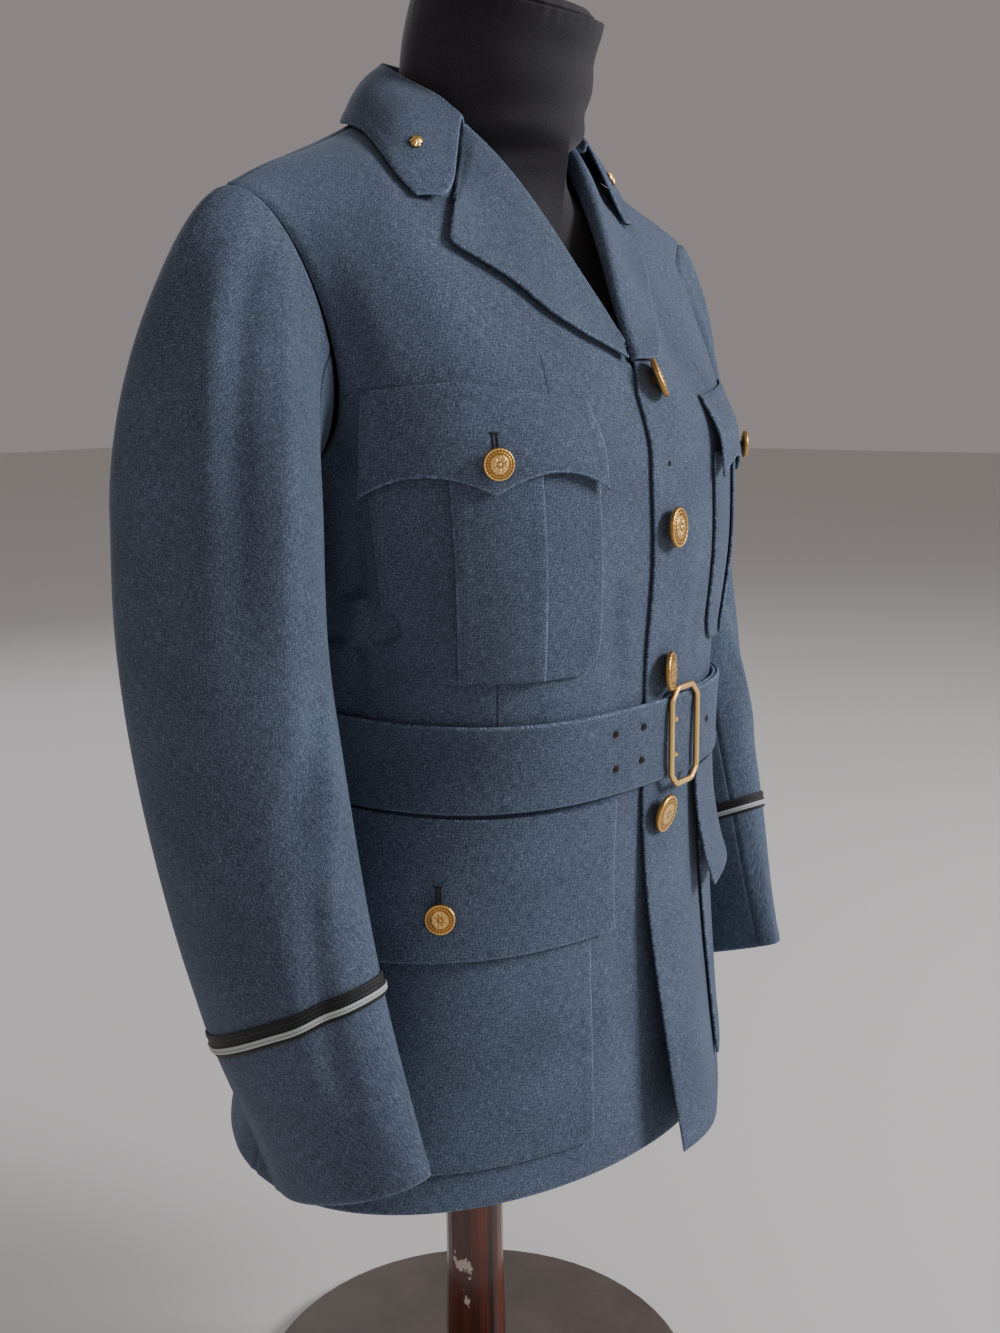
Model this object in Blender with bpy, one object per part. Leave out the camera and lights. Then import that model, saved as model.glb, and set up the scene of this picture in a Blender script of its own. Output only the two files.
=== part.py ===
"""Officer's belted tunic on a limbless dress form and turned pole stand.

The cloth is a set of thin walls cut like the real pieces: fronts, backs, two-part sleeves,
collar, lapels, patch pockets with flaps, and a belt. Lengths below are millimetres.
X runs to the wearer's left, the front faces -Y, and Z is up from the underside of the base.
"""
import bpy
import math
import numpy as np

MM = 0.001

# Cloth and sewing
WALL = 1.6            # thickness of one turned and pressed layer of cloth
SEAM = 0.3            # gap left between neighbouring pieces
LIFT = 0.9            # gap between a panel and what is sewn on it
HEM_Z = 258.0         # height of the hem above the floor
CHEST_Z = 700.0       # height of the underarm point
RISE = 250.0          # chest to shoulder seam, measured up the cloth
SHOULDER_X = 231.0    # centre line to shoulder point
HALF_CHEST = 259.0    # centre front to side, round the chest ring
SIDE_SHARE = 0.5      # the side seam's share of the half ring at the underarm
SIDE_DRIFT = 0.06     # how far back the side seam runs below it, as a share

# Rings of the tunic body, the outer face of the cloth: height, half width, front, back,
# where the ring is widest, and roundness (2 is an ellipse, more is squarer)
BODY_RINGS = np.array([
    (258, 203, -163, 150, -22, 1.95),
    (330, 188, -157, 133, -20, 2.05),
    (420, 173, -150, 119, -20, 2.25),
    (476, 158, -149, 113, -20, 2.50),
    (523, 146, -150, 109, -20, 2.75),
    (567, 149, -151, 108, -20, 2.85),
    (640, 165, -156, 113, -20, 2.80),
    (700, 175, -154, 118, -20, 2.70),
], float)

# Shoulder seam line: distance from the centre, fore-aft place, height
SHOULDER_LINE = np.array([
    (0, 12, 922), (40, 10, 918), (78, 4, 905), (120, -4, 888),
    (165, -14, 872), (200, -22, 860), (231, -28, 847),
], float)

# Rows of the body below the chest, and places up the armhole where pieces meet
BODY_ROWS = 13
FRONT_ARMHOLE = np.array([0.03, 0.08, 0.14, 0.21, 0.289, 0.37, 0.46, 0.56, 0.66, 0.77, 0.88, 0.998])
BACK_ARMHOLE = np.array([0.03, 0.08, 0.14, 0.21, 0.29, 0.37, 0.46, 0.53, 0.60, 0.70, 0.81, 0.91, 0.998])

# Front opening
OVERLAP = 16.0        # left front past the centre line
UNDERLAP = 18.0       # right front past the centre line, underneath
LAP_LIFT = 3.0        # how far the left front stands off where it laps over
LAP_FROM = 20.0
LAP_TO = 72.0
FLARE = 20.0          # how far the left front swings forward at the hem
FLARE_TOP = 490.0
FLARE_REACH = 130.0

# How full the cloth is above the chest, by share from the centre front to the side
CHEST_LIFT = ((0, 0.3, 0.6, 1), (40, 42, 76, 62))
CHEST_REACH = ((0, 0.3, 0.45, 0.6, 1), (72, 74, 64, 52, 24))
LEFT_BACK = 12.0      # how far the left chest sits back beside its lapel

# Roll lines of the lapels: share from chest to shoulder, share from centre to armhole
ROLL_LINE = {
    "left": np.array([
        (0.14, -0.085), (0.20, -0.062), (0.235, -0.042), (0.272, -0.03), (0.334, -0.024),
        (0.406, 0.0), (0.479, 0.04), (0.552, 0.09), (0.64, 0.16), (0.77, 0.245),
        (0.88, 0.285), (1.00, 0.31),
    ], float),
    "right": np.array([
        (0.14, -0.075), (0.20, -0.02), (0.256, 0.035), (0.317, 0.062), (0.374, 0.09),
        (0.43, 0.122), (0.50, 0.155), (0.60, 0.195), (0.77, 0.25), (0.88, 0.285),
        (1.00, 0.31),
    ], float),
}
NECK_SHARE = 0.31     # where the shoulder seam starts

# Lapel edges, from the break to the notch: place up the lapel, then the same shares as above
LAPEL_EDGE = {
    "left": np.array([
        (0.00, 0.05, 0.272), (0.15, 0.09, 0.296), (0.30, 0.145, 0.332), (0.45, 0.20, 0.372),
        (0.60, 0.255, 0.42), (0.72, 0.31, 0.468), (0.80, 0.345, 0.503), (0.90, 0.35, 0.545),
        (1.00, 0.335, 0.59),
    ], float),
    "right": np.array([
        (0.00, 0.065, 0.272), (0.15, 0.125, 0.294), (0.30, 0.20, 0.322), (0.45, 0.29, 0.368),
        (0.60, 0.375, 0.425), (0.72, 0.455, 0.475), (0.80, 0.505, 0.507), (0.90, 0.48, 0.555),
        (1.00, 0.435, 0.605),
    ], float),
}
LAPEL_START = {"left": 0.272, "right": 0.305}
LAPEL_TOP = 0.765
NOTCH = (0.44, 0.60)

# Collar, from the gorge seam (0) round to the centre back (1), wearer's left half
FOLD_LINE = np.array([
    (0.00, 65, -54, 897), (0.14, 69, -41, 909), (0.30, 70, -20, 920), (0.48, 65, 2, 931),
    (0.66, 50, 20, 938), (0.84, 27, 32, 942), (1.00, 0, 36, 943),
], float)
NECK_POINT = 0.48     # where the shoulder seam meets the collar
COLLAR_FROM = 0.80    # place up the front's edge where the collar's foot starts
COLLAR_EDGE = np.array([
    (0.00, 0.54, 0.63), (0.10, 0.556, 0.70), (0.22, 0.54, 0.80), (0.34, 0.51, 0.89),
    (0.46, 0.485, 0.975), (0.60, 0.43, 1.06), (0.80, 0.26, 1.13), (1.00, 0.0, 1.19),
], float)
COLLAR_STAND = 2.9    # middle of the collar's and lapels' cloth above the front
FALL_SHARES = (0.3, 0.5, 0.7, 0.85, 1.0)
FOLD_BULGE = 5.0      # how full the collar's fall is between its fold and its edge

# Sleeve, wearer's left, square to the arm line: height, distance out, fore-aft place, then the
# half sizes to the outer side, to the inner side and fore and aft
SLEEVE_RINGS = np.array([
    (700, 226, -4, 48, 44, 68),
    (600, 229, -7, 50, 46, 68),
    (500, 230, -25, 48, 42, 67),
    (400, 225, -50, 43, 31, 63),
    (320, 215, -75, 34.5, 18, 57),
    (298, 213, -82, 33, 15, 56),
], float)
CAP_JOIN = 670.0
CUFF_Z = 298.0
FOREARM_SEAM = 128.0  # degrees round the arm from the outside, by the front
HINDARM_SEAM = -72.0
LACE_AT = 0.735       # place of the rank lace between cap and cuff
LACE_WIDTH = 13.0
LACE_LIFT = 1.5       # outer face of the woven band above the sleeve
LACE_WALL = 0.8
STRIPE_WIDTH = 4.0
STRIPE_LIFT = 2.5
STRIPE_WALL = 0.6
SLEEVE_SEAM_TURN = 0.25   # half the gap at a sleeve seam, in degrees round the arm
SLEEVE_ROWS = np.r_[0.0, 0.12, 0.26, 0.42, 0.6, 0.8, np.linspace(1, 2, 9)]

# Pockets: place along the chest ring from the centre front, and heights
CHEST_POCKET = {"centre": 140.0, "half": 71.0, "low": 576.0, "high": 699.0, "corner": 20.0}
CHEST_FLAP = {"half": 72.5, "low": 684.0, "high": 747.0, "scallop": 12.0}
PLEAT_HALF = 26.0
SEWN_DROP = 5.0       # how much closer to the front a chest flap is at its sewn edge
HIP_POCKET = {"centre": 166.0, "half": 99.0, "low": 282.0, "high": 494.0}
HIP_FLAP = {"half": 116.0, "low": 413.0, "high": 494.0}
HIP_REF_Z = 420.0
HIP_FULLNESS = 0.5    # how far the hip pockets stand off beyond a chest pocket
HIP_FLARE = {"left": 9.0, "right": 1.0}   # how far the flap's lower edge springs out

# Belt
BELT_Z = 523.6
BELT_WIDTH = 51.0
BELT_WALL = 2.2
BELT_GAP = 2.4
BELT_INNER_END = 44.0
BELT_TIP_END = 150.0
BUCKLE_CENTRE = 20.0
BUCKLE_HALF_WIDTH = 18.5
BUCKLE_HALF_HEIGHT = 33.0
BUCKLE_WIRE = 1.9
BUCKLE_CORNER = 7.0
BUCKLE_GAP = 0.55     # between the strap and the wire
WIRE_SIDES = 8
PRONG_LEVELS = {"upper": 11.5, "lower": -11.5}
PRONG_IN = 7.5        # prongs in from the buckle's side bar

# Buttons
FRONT_BUTTON_R = 12.6
POCKET_BUTTON_R = 9.2
SHANK_R = 2.2
SHANK_HEIGHT = 2.6
CHEST_BUTTON_UP = 18.0    # a flap button above the flap's lowest line
HIP_BUTTON_UP = 25.0
FRONT_BUTTONS = (("a", 756.0, 30.0, 0.0), ("b", 657.0, 8.0, 0.0),
                 ("c", 567.0, 20.0, 4.0), ("d", 476.0, 4.0, -14.0))

# Stand and form
BASE_R = 161.0
BASE_T = 12.0
POLE_R = 21.0
FORM_LOW = 345.0
# Rings of the padded form, in the same columns as the body's
FORM_RINGS = np.array([
    (345, 150, -118, 92, -20, 2.1),
    (420, 152, -128, 100, -20, 2.2),
    (523, 134, -134, 94, -20, 2.5),
    (640, 148, -140, 98, -20, 2.5),
    (700, 158, -138, 103, -20, 2.4),
    (745, 170, -128, 105, -18, 2.2),
    (785, 182, -104, 100, -18, 1.95),
    (815, 188, -84, 90, -20, 1.7),
    (838, 174, -79, 78, -20, 1.35),
    (856, 140, -81, 62, -20, 1.0),
    (869.5, 94, -83, 50, -14, 1.0),
    (885.5, 68, -85, 40, -14, 1.15),
    (897, 59, -87, 33, -26, 1.8),
    (908, 58, -88, 32, -22, 1.85),
    (922, 60, -90, 32, -29, 2.0),
    (946, 60.5, -92, 29, -31, 2.0),
    (975, 58.5, -99, 17, -41, 2.0),
], float)
NECK_TOP_TILT = 0.28  # the top slopes down to the front by this much for each millimetre

COLOURS = {
    "cloth": ((0.067, 0.085, 0.125), 0.9, 0.0),
    "lace": ((0.010, 0.010, 0.012), 0.8, 0.0),
    "stripe": ((0.32, 0.40, 0.42), 0.7, 0.0),
    "gilt": ((0.62, 0.38, 0.12), 0.3, 1.0),
    "form": ((0.016, 0.015, 0.020), 0.9, 0.0),
    "pole": ((0.060, 0.014, 0.008), 0.25, 0.0),
    "base": ((0.070, 0.058, 0.048), 0.5, 0.0),
}


def clear_scene():
    for item in list(bpy.data.objects):
        bpy.data.objects.remove(item, do_unlink=True)


def material(name):
    """One Principled material for each finish."""
    found = bpy.data.materials.get(name)
    if found:
        return found
    colour, roughness, metallic = COLOURS[name]
    made = bpy.data.materials.new(name)
    made.use_nodes = True
    shader = made.node_tree.nodes["Principled BSDF"]
    shader.inputs["Base Color"].default_value = (*colour, 1.0)
    shader.inputs["Roughness"].default_value = roughness
    shader.inputs["Metallic"].default_value = metallic
    return made


def enclosed_volume(points, faces):
    """Signed volume inside a closed set of faces: negative when they face inwards."""
    total = 0.0
    for face in faces:
        for k in range(1, len(face) - 1):
            total += points[face[0]] @ np.cross(points[face[k]], points[face[k + 1]])
    return total / 6


def solid(name, points, faces, finish):
    """Make an object from points in millimetres, its faces outward."""
    points = np.asarray(points, float)
    if enclosed_volume(points - points.mean(0), faces) < 0:
        faces = [tuple(reversed(face)) for face in faces]
    mesh = bpy.data.meshes.new(name)
    mesh.from_pydata([tuple(p) for p in points * MM], [], faces)
    mesh.update()
    mesh.shade_smooth()
    mesh.set_sharp_from_angle(angle=math.radians(40))
    mesh.materials.append(material(finish))
    made = bpy.data.objects.new(name, mesh)
    bpy.context.scene.collection.objects.link(made)
    return made


def smooth_at(table, key):
    """Read a table of rows at a key, with a smooth curve through the rows."""
    keys, values = table[:, 0], table[:, 1:]
    slopes = np.gradient(values, keys, axis=0)
    i = int(np.clip(np.searchsorted(keys, key) - 1, 0, len(keys) - 2))
    step = keys[i + 1] - keys[i]
    t = (key - keys[i]) / step
    if t < 0:
        return values[0] + slopes[0] * (key - keys[0])
    if t > 1:
        return values[-1] + slopes[-1] * (key - keys[-1])
    a = 2 * t**3 - 3 * t**2 + 1
    b = t**3 - 2 * t**2 + t
    c = t**3 - t**2
    return a * values[i] + b * step * slopes[i] + (1 - a) * values[i + 1] + c * step * slopes[i + 1]


def ease(x):
    """Smooth step from 0 to 1."""
    x = min(max(x, 0.0), 1.0)
    return x * x * (3 - 2 * x)


def unit(v):
    return v / np.linalg.norm(v)


ring_cache = {}


def half_ring(z):
    """Points of the wearer's left half ring, front to back, and the length up to each."""
    key = round(z, 4)
    if key not in ring_cache:
        half, front, back, widest, power = smooth_at(BODY_RINGS, z)
        turn = np.linspace(0, math.pi, 161)
        x = half * np.abs(np.sin(turn)) ** (2 / power)
        reach = np.where(np.cos(turn) > 0, front - widest, back - widest)
        y = widest + reach * np.abs(np.cos(turn)) ** (2 / power)
        points = np.stack([x, y, np.full_like(x, z)], -1)
        run = np.r_[0, np.cumsum(np.linalg.norm(np.diff(points, axis=0), axis=1))]
        ring_cache[key] = (points, run)
    return ring_cache[key]


def ring_length(z):
    return half_ring(z)[1][-1]


def ring_at(l, z):
    """Point at l millimetres round the ring from the centre front; below 0 is past the centre."""
    points, run = half_ring(z)
    p = np.array([np.interp(abs(l), run, points[:, k]) for k in range(3)])
    if l < 0:
        p[0] = -p[0]
    return p


def shoulder_at(m):
    """Point of the shoulder line at share m from the centre to the shoulder point."""
    x = abs(m) * SHOULDER_X
    y, z = smooth_at(SHOULDER_LINE, x)
    return np.array([math.copysign(x, m), y, z])


def chest_rise(m, t, front):
    """Cloth from the chest ring (t 0) up to the shoulder line (t 1)."""
    side = SIDE_SHARE * ring_length(CHEST_Z)
    l = m * side if front else math.copysign(ring_length(CHEST_Z) - abs(m) * side, m)
    step = 8.0
    low = ring_at(l, CHEST_Z)
    up = unit(low - ring_at(l, CHEST_Z - step))
    top = shoulder_at(m)
    share = min(abs(m), 1.0)
    if front:
        lift = np.interp(share, *CHEST_LIFT)
        reach = np.interp(share, *CHEST_REACH)
    else:
        lift = np.interp(share, [0, 1], [95, 62])
        reach = np.interp(share, [0, 1], [70, 30])
    out = np.array([0, -1.0 if front else 1.0, -0.02])
    a, b, c, d = low, low + up * lift, top + out * reach, top
    return (1 - t)**3 * a + 3 * (1 - t)**2 * t * b + 3 * (1 - t) * t**2 * c + t**3 * d


def lap(side, l, h):
    """How far forward the left front stands: it laps over, swings free and sits back at the chest."""
    if side != "left":
        return 0.0
    lift = LAP_LIFT * (1 - ease((l - LAP_FROM) / (LAP_TO - LAP_FROM)))
    if h < FLARE_TOP:
        share = (FLARE_TOP - h) / (FLARE_TOP - HEM_Z)
        lift += FLARE * share**1.3 * (1 - ease(max(l, 0) / FLARE_REACH))
    m, t = l / HALF_CHEST, (h - CHEST_Z) / RISE
    back = ease(m / 0.3) * ease((0.75 - m) / 0.4) * ease((t - 0.1) / 0.3) * ease((0.85 - t) / 0.35)
    return lift - LEFT_BACK * back


def front_at(side, l, h):
    """Outer face of a front: l round the body from the centre, h up the cloth."""
    if h <= CHEST_Z:
        p = ring_at(l, h)
    else:
        p = chest_rise(l / HALF_CHEST, (h - CHEST_Z) / RISE, True)
    p = p + np.array([0, -lap(side, l, h), 0])
    if side == "right":
        p[0] = -p[0]
    return p


def back_at(side, b, h):
    """Outer face of a back: b round the body from the centre back."""
    if h <= CHEST_Z:
        p = ring_at(ring_length(h) - b, h)
    else:
        p = chest_rise(max(b, 1e-6) / HALF_CHEST, (h - CHEST_Z) / RISE, False)
    if side == "right":
        p[0] = -p[0]
    return p


def normal_of(surface, u, v, step=0.5):
    """Outward unit normal of a surface that faces away from the body's axis."""
    high = v if v <= CHEST_Z < v + step else v + step
    low = v if v - step < CHEST_Z < v else v - step
    du = surface(u + step, v) - surface(u - step, v)
    dv = surface(u, high) - surface(u, low)
    n = unit(np.cross(du, dv))
    p = surface(u, v)
    outward = np.array([p[0], p[1] + 20.0, 120.0 if p[2] > 800 else 0.0])
    return n if n @ outward > 0 else -n


def on_front(side, l, h, out):
    """Point over a front, moved out from its face."""
    def face(u, v):
        return front_at(side, u, v)
    return face(l, h) + normal_of(face, l, h) * out


def over_shoulder(side, m, t, out):
    """Point over the chest (t below 1) or over the back (t above 1), moved out from the cloth."""
    if t <= 1:
        return on_front(side, m * HALF_CHEST, CHEST_Z + min(t, 0.999) * RISE, out)

    def face(u, v):
        return back_at(side, u, v)
    b, h = m * HALF_CHEST, CHEST_Z + (2 - t) * RISE
    return face(b, h) + normal_of(face, b, h) * out


def grid_normals(points, wrap=False):
    """Unit normals of a grid of points."""
    if wrap:
        across = np.roll(points, -1, 1) - np.roll(points, 1, 1)
    else:
        across = np.gradient(points, axis=1)
    along = np.gradient(points, axis=0)
    n = np.cross(across, along)
    return n / np.linalg.norm(n, axis=-1)[..., None]


def wall(name, outer, normals, thickness, finish="cloth", wrap=False):
    """Closed wall: an outer grid of points, the same grid moved in, and the rims between."""
    rows, cols = outer.shape[:2]
    inner = outer - normals * thickness
    points = np.concatenate([outer.reshape(-1, 3), inner.reshape(-1, 3)])
    shift = rows * cols

    def at(i, j):
        return i * cols + j % cols

    spans = cols if wrap else cols - 1
    faces = []
    for i in range(rows - 1):
        for j in range(spans):
            quad = (at(i, j), at(i, j + 1), at(i + 1, j + 1), at(i + 1, j))
            faces.append(quad)
            faces.append(tuple(k + shift for k in reversed(quad)))
    for j in range(spans):
        faces.append((at(0, j + 1), at(0, j), at(0, j) + shift, at(0, j + 1) + shift))
        last = rows - 1
        faces.append((at(last, j), at(last, j + 1), at(last, j + 1) + shift, at(last, j) + shift))
    if not wrap:
        for i in range(rows - 1):
            faces.append((at(i, 0), at(i + 1, 0), at(i + 1, 0) + shift, at(i, 0) + shift))
            end = cols - 1
            faces.append((at(i + 1, end), at(i, end), at(i, end) + shift, at(i + 1, end) + shift))
    return solid(name, points, faces, finish)


def facing(normals, like):
    """Turn a grid of normals so that its middle one agrees with a direction."""
    i, j = normals.shape[0] // 2, normals.shape[1] // 2
    return normals if normals[i, j] @ like > 0 else -normals


def roll_share(side, t):
    """Edge of the front above the break, as a share of the chest."""
    return float(smooth_at(ROLL_LINE[side], t)[0])


def armhole_share(t, front=True):
    """Armhole edge: narrower across the chest than at the shoulder and underarm."""
    depth = 0.13 if front else 0.10
    return 1 - depth * math.sin(math.pi * min(max(t, 0), 1) ** 0.55)


def side_length(z, front=True):
    """Length round the ring from the centre to the side seam."""
    drift = SIDE_DRIFT * ease((CHEST_Z - z) / 120.0)
    share = SIDE_SHARE + drift
    whole = ring_length(z)
    return share * whole if front else (1 - share) * whole


def front_span(side, h):
    """Where a front starts and ends at a height: centre edge or roll line, side or armhole."""
    edge = -OVERLAP if side == "left" else -UNDERLAP
    if h <= CHEST_Z:
        return edge, side_length(h) - SEAM / 2
    t = (h - CHEST_Z) / RISE
    if t > ROLL_LINE[side][0, 0]:
        edge = max(edge, roll_share(side, t) * HALF_CHEST)
    return edge, armhole_share(t) * HALF_CHEST - SEAM / 2


def make_front(side):
    rows = np.r_[np.linspace(HEM_Z, CHEST_Z, BODY_ROWS), CHEST_Z + RISE * FRONT_ARMHOLE]
    shares = np.linspace(0, 1, 13) ** 0.92
    outer = np.zeros((len(rows), len(shares), 3))
    normals = np.zeros_like(outer)
    for i, h in enumerate(rows):
        first, last = front_span(side, h)
        for j, s in enumerate(shares):
            l = first + (last - first) * s
            outer[i, j] = front_at(side, l, h)
            normals[i, j] = on_front(side, l, h, 1.0) - outer[i, j]
    return wall("front_" + side, outer, normals, WALL)


def neck_hole_top(share):
    """Top edge of the back, as a share of the way up: lower at the centre of the neck."""
    if share >= NECK_SHARE:
        return 1.0
    return 0.855 + 0.145 * (share / NECK_SHARE) ** 2


def make_back(side):
    rows = np.r_[np.linspace(HEM_Z, CHEST_Z, BODY_ROWS) - CHEST_Z, RISE * BACK_ARMHOLE]
    shares = np.linspace(0, 1, 11)
    outer = np.zeros((len(rows), len(shares), 3))
    normals = np.zeros_like(outer)
    for i, rise in enumerate(rows):
        for j, s in enumerate(shares):
            if rise <= 0:
                h = CHEST_Z + rise
                b = SEAM / 2 + (side_length(h, False) - SEAM) * s
            else:
                t = rise / RISE
                m = armhole_share(t, False) * s
                h = CHEST_Z + rise * neck_hole_top(m)
                b = SEAM / 2 + m * HALF_CHEST - SEAM * s
            def face(u, v):
                return back_at(side, u, v)
            outer[i, j] = face(b, h)
            normals[i, j] = normal_of(face, b, h) if b > 1 else unit(normal_of(face, 1.0, h) * (0, 1, 1))
    return wall("back_" + side, outer, normals, WALL)


def tube_at(turn, z):
    """Point of the left sleeve below the cap; turn in radians, 0 outside and 90 degrees in front."""
    table = SLEEVE_RINGS * np.array([-1, 1, 1, 1, 1, 1])

    def centre(height):
        x, y = smooth_at(table, -height)[:2]
        return np.array([x, y, height])
    outer, inner, depth = smooth_at(table, -z)[2:]
    down = unit(centre(z - 4) - centre(z + 4)) if z > CUFF_Z + 4 else unit(centre(z) - centre(z + 8))
    out = np.array([1.0, 0, 0])
    out = unit(out - down * (down @ out))
    fore = np.cross(down, out)
    fore = fore * -math.copysign(1, fore[1])
    reach = outer if math.cos(turn) > 0 else inner
    return centre(z) + out * reach * math.cos(turn) + fore * depth * math.sin(turn)


def armhole_at(turn):
    """Armhole seam, from the shoulder point (0) down the front and up the back."""
    half = turn / math.pi
    if half <= 1:
        t = 1 - half
        return chest_rise(armhole_share(t), t, True)
    t = half - 1
    return chest_rise(armhole_share(t, False), t, False)


def sleeve_at(turn, s):
    """Left sleeve: s 0 to 1 is the cap, 1 to 2 the tube down to the cuff."""
    turn = turn % (2 * math.pi)
    if s >= 1:
        return tube_at(turn, CAP_JOIN + (CUFF_Z - CAP_JOIN) * (s - 1))
    top, low, side = max(math.cos(turn), 0), max(-math.cos(turn), 0), abs(math.sin(turn))
    leave = np.array([1.0, -0.35 * math.sin(turn), -0.30]) * (128 * top**1.5 + 75 * side**2)
    leave = leave + np.array([0.6, 0, -1.0]) * 30 * low
    arrive = np.array([0, 0, -1.0]) * (190 * top + 120 * side**2 + 30 * low)
    start = armhole_at(turn) + unit(leave) * 0.6
    end = tube_at(turn, CAP_JOIN)
    a = 2 * s**3 - 3 * s**2 + 1
    return (a * start + (s**3 - 2 * s**2 + s) * leave + (1 - a) * end + (s**3 - s**2) * arrive)


def mirror(p, side):
    return p * np.array([1 if side == "left" else -1, 1, 1])


def sleeve_normal(turn, s):
    step = 0.004
    low = max(s - step, 0)
    a = sleeve_at(turn + step, s) - sleeve_at(turn - step, s)
    b = sleeve_at(turn, s + step) - sleeve_at(turn, low)
    n = unit(np.cross(a, b))
    z = sleeve_at(turn, s)[2]
    outward = np.array([math.cos(turn), -math.sin(turn), 0.6 if z > 760 else 0.0])
    return n if n @ outward > 0 else -n


def sleeve_stops():
    """Degrees round the arm where columns of the sleeve meet the rows of the armhole."""
    stops = np.r_[180 * (1 - FRONT_ARMHOLE), 180 * (1 + BACK_ARMHOLE), 180]
    return np.sort(np.r_[stops - 360, stops])


def make_sleeve(name, side, start, end):
    """One sleeve piece between two seams, given in degrees round the arm."""
    gap = SLEEVE_SEAM_TURN
    inside = [s for s in sleeve_stops() if start + 1 < s < end - 1]
    turns = np.radians(np.r_[start + gap, inside, end - gap])
    outer = np.array([[sleeve_at(t, s) for t in turns] for s in SLEEVE_ROWS])
    normals = np.array([[sleeve_normal(t, s) for t in turns] for s in SLEEVE_ROWS])
    return wall(name + "_" + side, mirror(outer, side), mirror(normals, side), WALL)


def lace_ring(side, name, width, lift, thickness, finish):
    """A woven band all round the sleeve, square to the arm."""
    turns = np.radians([s for s in sleeve_stops() if HINDARM_SEAM <= s < HINDARM_SEAM + 359])
    half = width / (CAP_JOIN - CUFF_Z) / 2 * 0.93
    rows = [1 + LACE_AT - half, 1 + LACE_AT + half]
    outer = np.array([[sleeve_at(t, s) + sleeve_normal(t, s) * lift for t in turns] for s in rows])
    normals = np.array([[sleeve_normal(t, s) for t in turns] for s in rows])
    return wall(name + "_" + side, mirror(outer, side), mirror(normals, side), thickness, finish, True)


def fold_line(side, w):
    return mirror(smooth_at(FOLD_LINE, w), side)


def neck_seam(side, w):
    """Foot of the collar's stand: round the neckline from the gorge to the centre back."""
    if w < NECK_POINT:
        t = COLLAR_FROM + (0.998 - COLLAR_FROM) * w / NECK_POINT
        edge = over_shoulder(side, roll_share(side, t), t, 0.0)
    else:
        m = NECK_SHARE * (1 - (w - NECK_POINT) / (1 - NECK_POINT))
        edge = back_at(side, m * HALF_CHEST, CHEST_Z + RISE * neck_hole_top(m))
    inward = unit((np.array([0, -28.0, edge[2]]) - edge) * np.array([1, 1, 0]))
    return edge + inward * (WALL / 2 + 0.7)


def collar_section(side, w):
    """Middle line of the collar at w: up the stand, over the fold and down the fall."""
    fold = fold_line(side, w)
    seam = neck_seam(side, w)
    m, t = smooth_at(COLLAR_EDGE, w)
    edge = over_shoulder(side, m, t, COLLAR_STAND)
    fall = edge - fold
    away = unit(fall * np.array([1, 1, 0]))
    up = np.array([0, 0, 1.0])
    turn_in = fold - up * 1.2
    points = [seam + up * 0.8, (seam + turn_in) / 2 - away * 1.0, turn_in - up * 2.0 - away * 0.4,
              fold + away * 1.3 + up * 1.0, fold + away * 4.0 - up * 0.8]
    for r in FALL_SHARES:
        bulge = FOLD_BULGE * math.sin(math.pi * r) + 1.2 * (1 - r)
        points.append(fold + fall * r + unit(np.cross(np.cross(fall, up), fall)) * bulge)
    points = np.array(points)
    gorge = 1 - ease(w / 0.22)
    if gorge > 0:
        start = fold_line(side, 0.0)
        notch = over_shoulder(side, *NOTCH, COLLAR_STAND)
        corner = over_shoulder(side, *COLLAR_EDGE[0, 1:], COLLAR_STAND)
        for k, r in enumerate(FALL_SHARES):
            if r < 0.6:
                bent = start + (notch - start) * r / 0.6
            else:
                bent = notch + (corner - notch) * (r - 0.6) / 0.4
            straight = start + (corner - start) * r
            points[5 + k] += (bent - straight) * gorge
    return points


def make_collar():
    """Stand and fall in one piece, folded along the roll."""
    half = np.array([0.0, 0.05, 0.11, 0.18, 0.27, 0.37, 0.48, 0.6, 0.72, 0.86, 1.0])
    sections = [collar_section("right", w) for w in half]
    sections += [collar_section("left", w) for w in half[-2::-1]]
    middle = np.array(sections)
    normals = facing(grid_normals(middle), np.array([0, 1.0, 0.3]))
    return wall("collar", middle + normals * WALL / 2, normals, WALL)


def lapel_section(side, w):
    """Middle line of the lapel at w: off the front's edge, over the roll and out to the edge."""
    first = LAPEL_START[side]
    t = first + (LAPEL_TOP - first) * w
    m = roll_share(side, t)
    base = over_shoulder(side, m, t, 0.0)
    up = over_shoulder(side, m, t, 1.0) - base
    inward = unit(over_shoulder(side, m - 0.02, t, 0.0) - base)
    rise = 3.2 + 6.0 * ease(w)
    edge_m, edge_t = smooth_at(LAPEL_EDGE[side], w)
    points = [base + inward * 2.1 - up * 0.4, base + inward * 3.0 + up * rise * 0.5,
              base + inward * 1.4 + up * rise]
    for r in (0.10, 0.3, 0.5, 0.75, 1.0):
        out = COLLAR_STAND + (rise - COLLAR_STAND) * (1 - ease(r / 0.5))
        points.append(over_shoulder(side, m + (edge_m - m) * r, t + (edge_t - t) * r, out))
    return np.array(points)


def make_lapel(side):
    shares = np.array([0.0, 0.1, 0.22, 0.34, 0.46, 0.58, 0.7, 0.79, 0.88, 0.985])
    middle = np.array([lapel_section(side, w) for w in shares])
    normals = facing(grid_normals(middle), np.array([0.2, -1.0, 0.3]))
    return wall("lapel_" + side, middle + normals * WALL / 2, normals, WALL)


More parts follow.
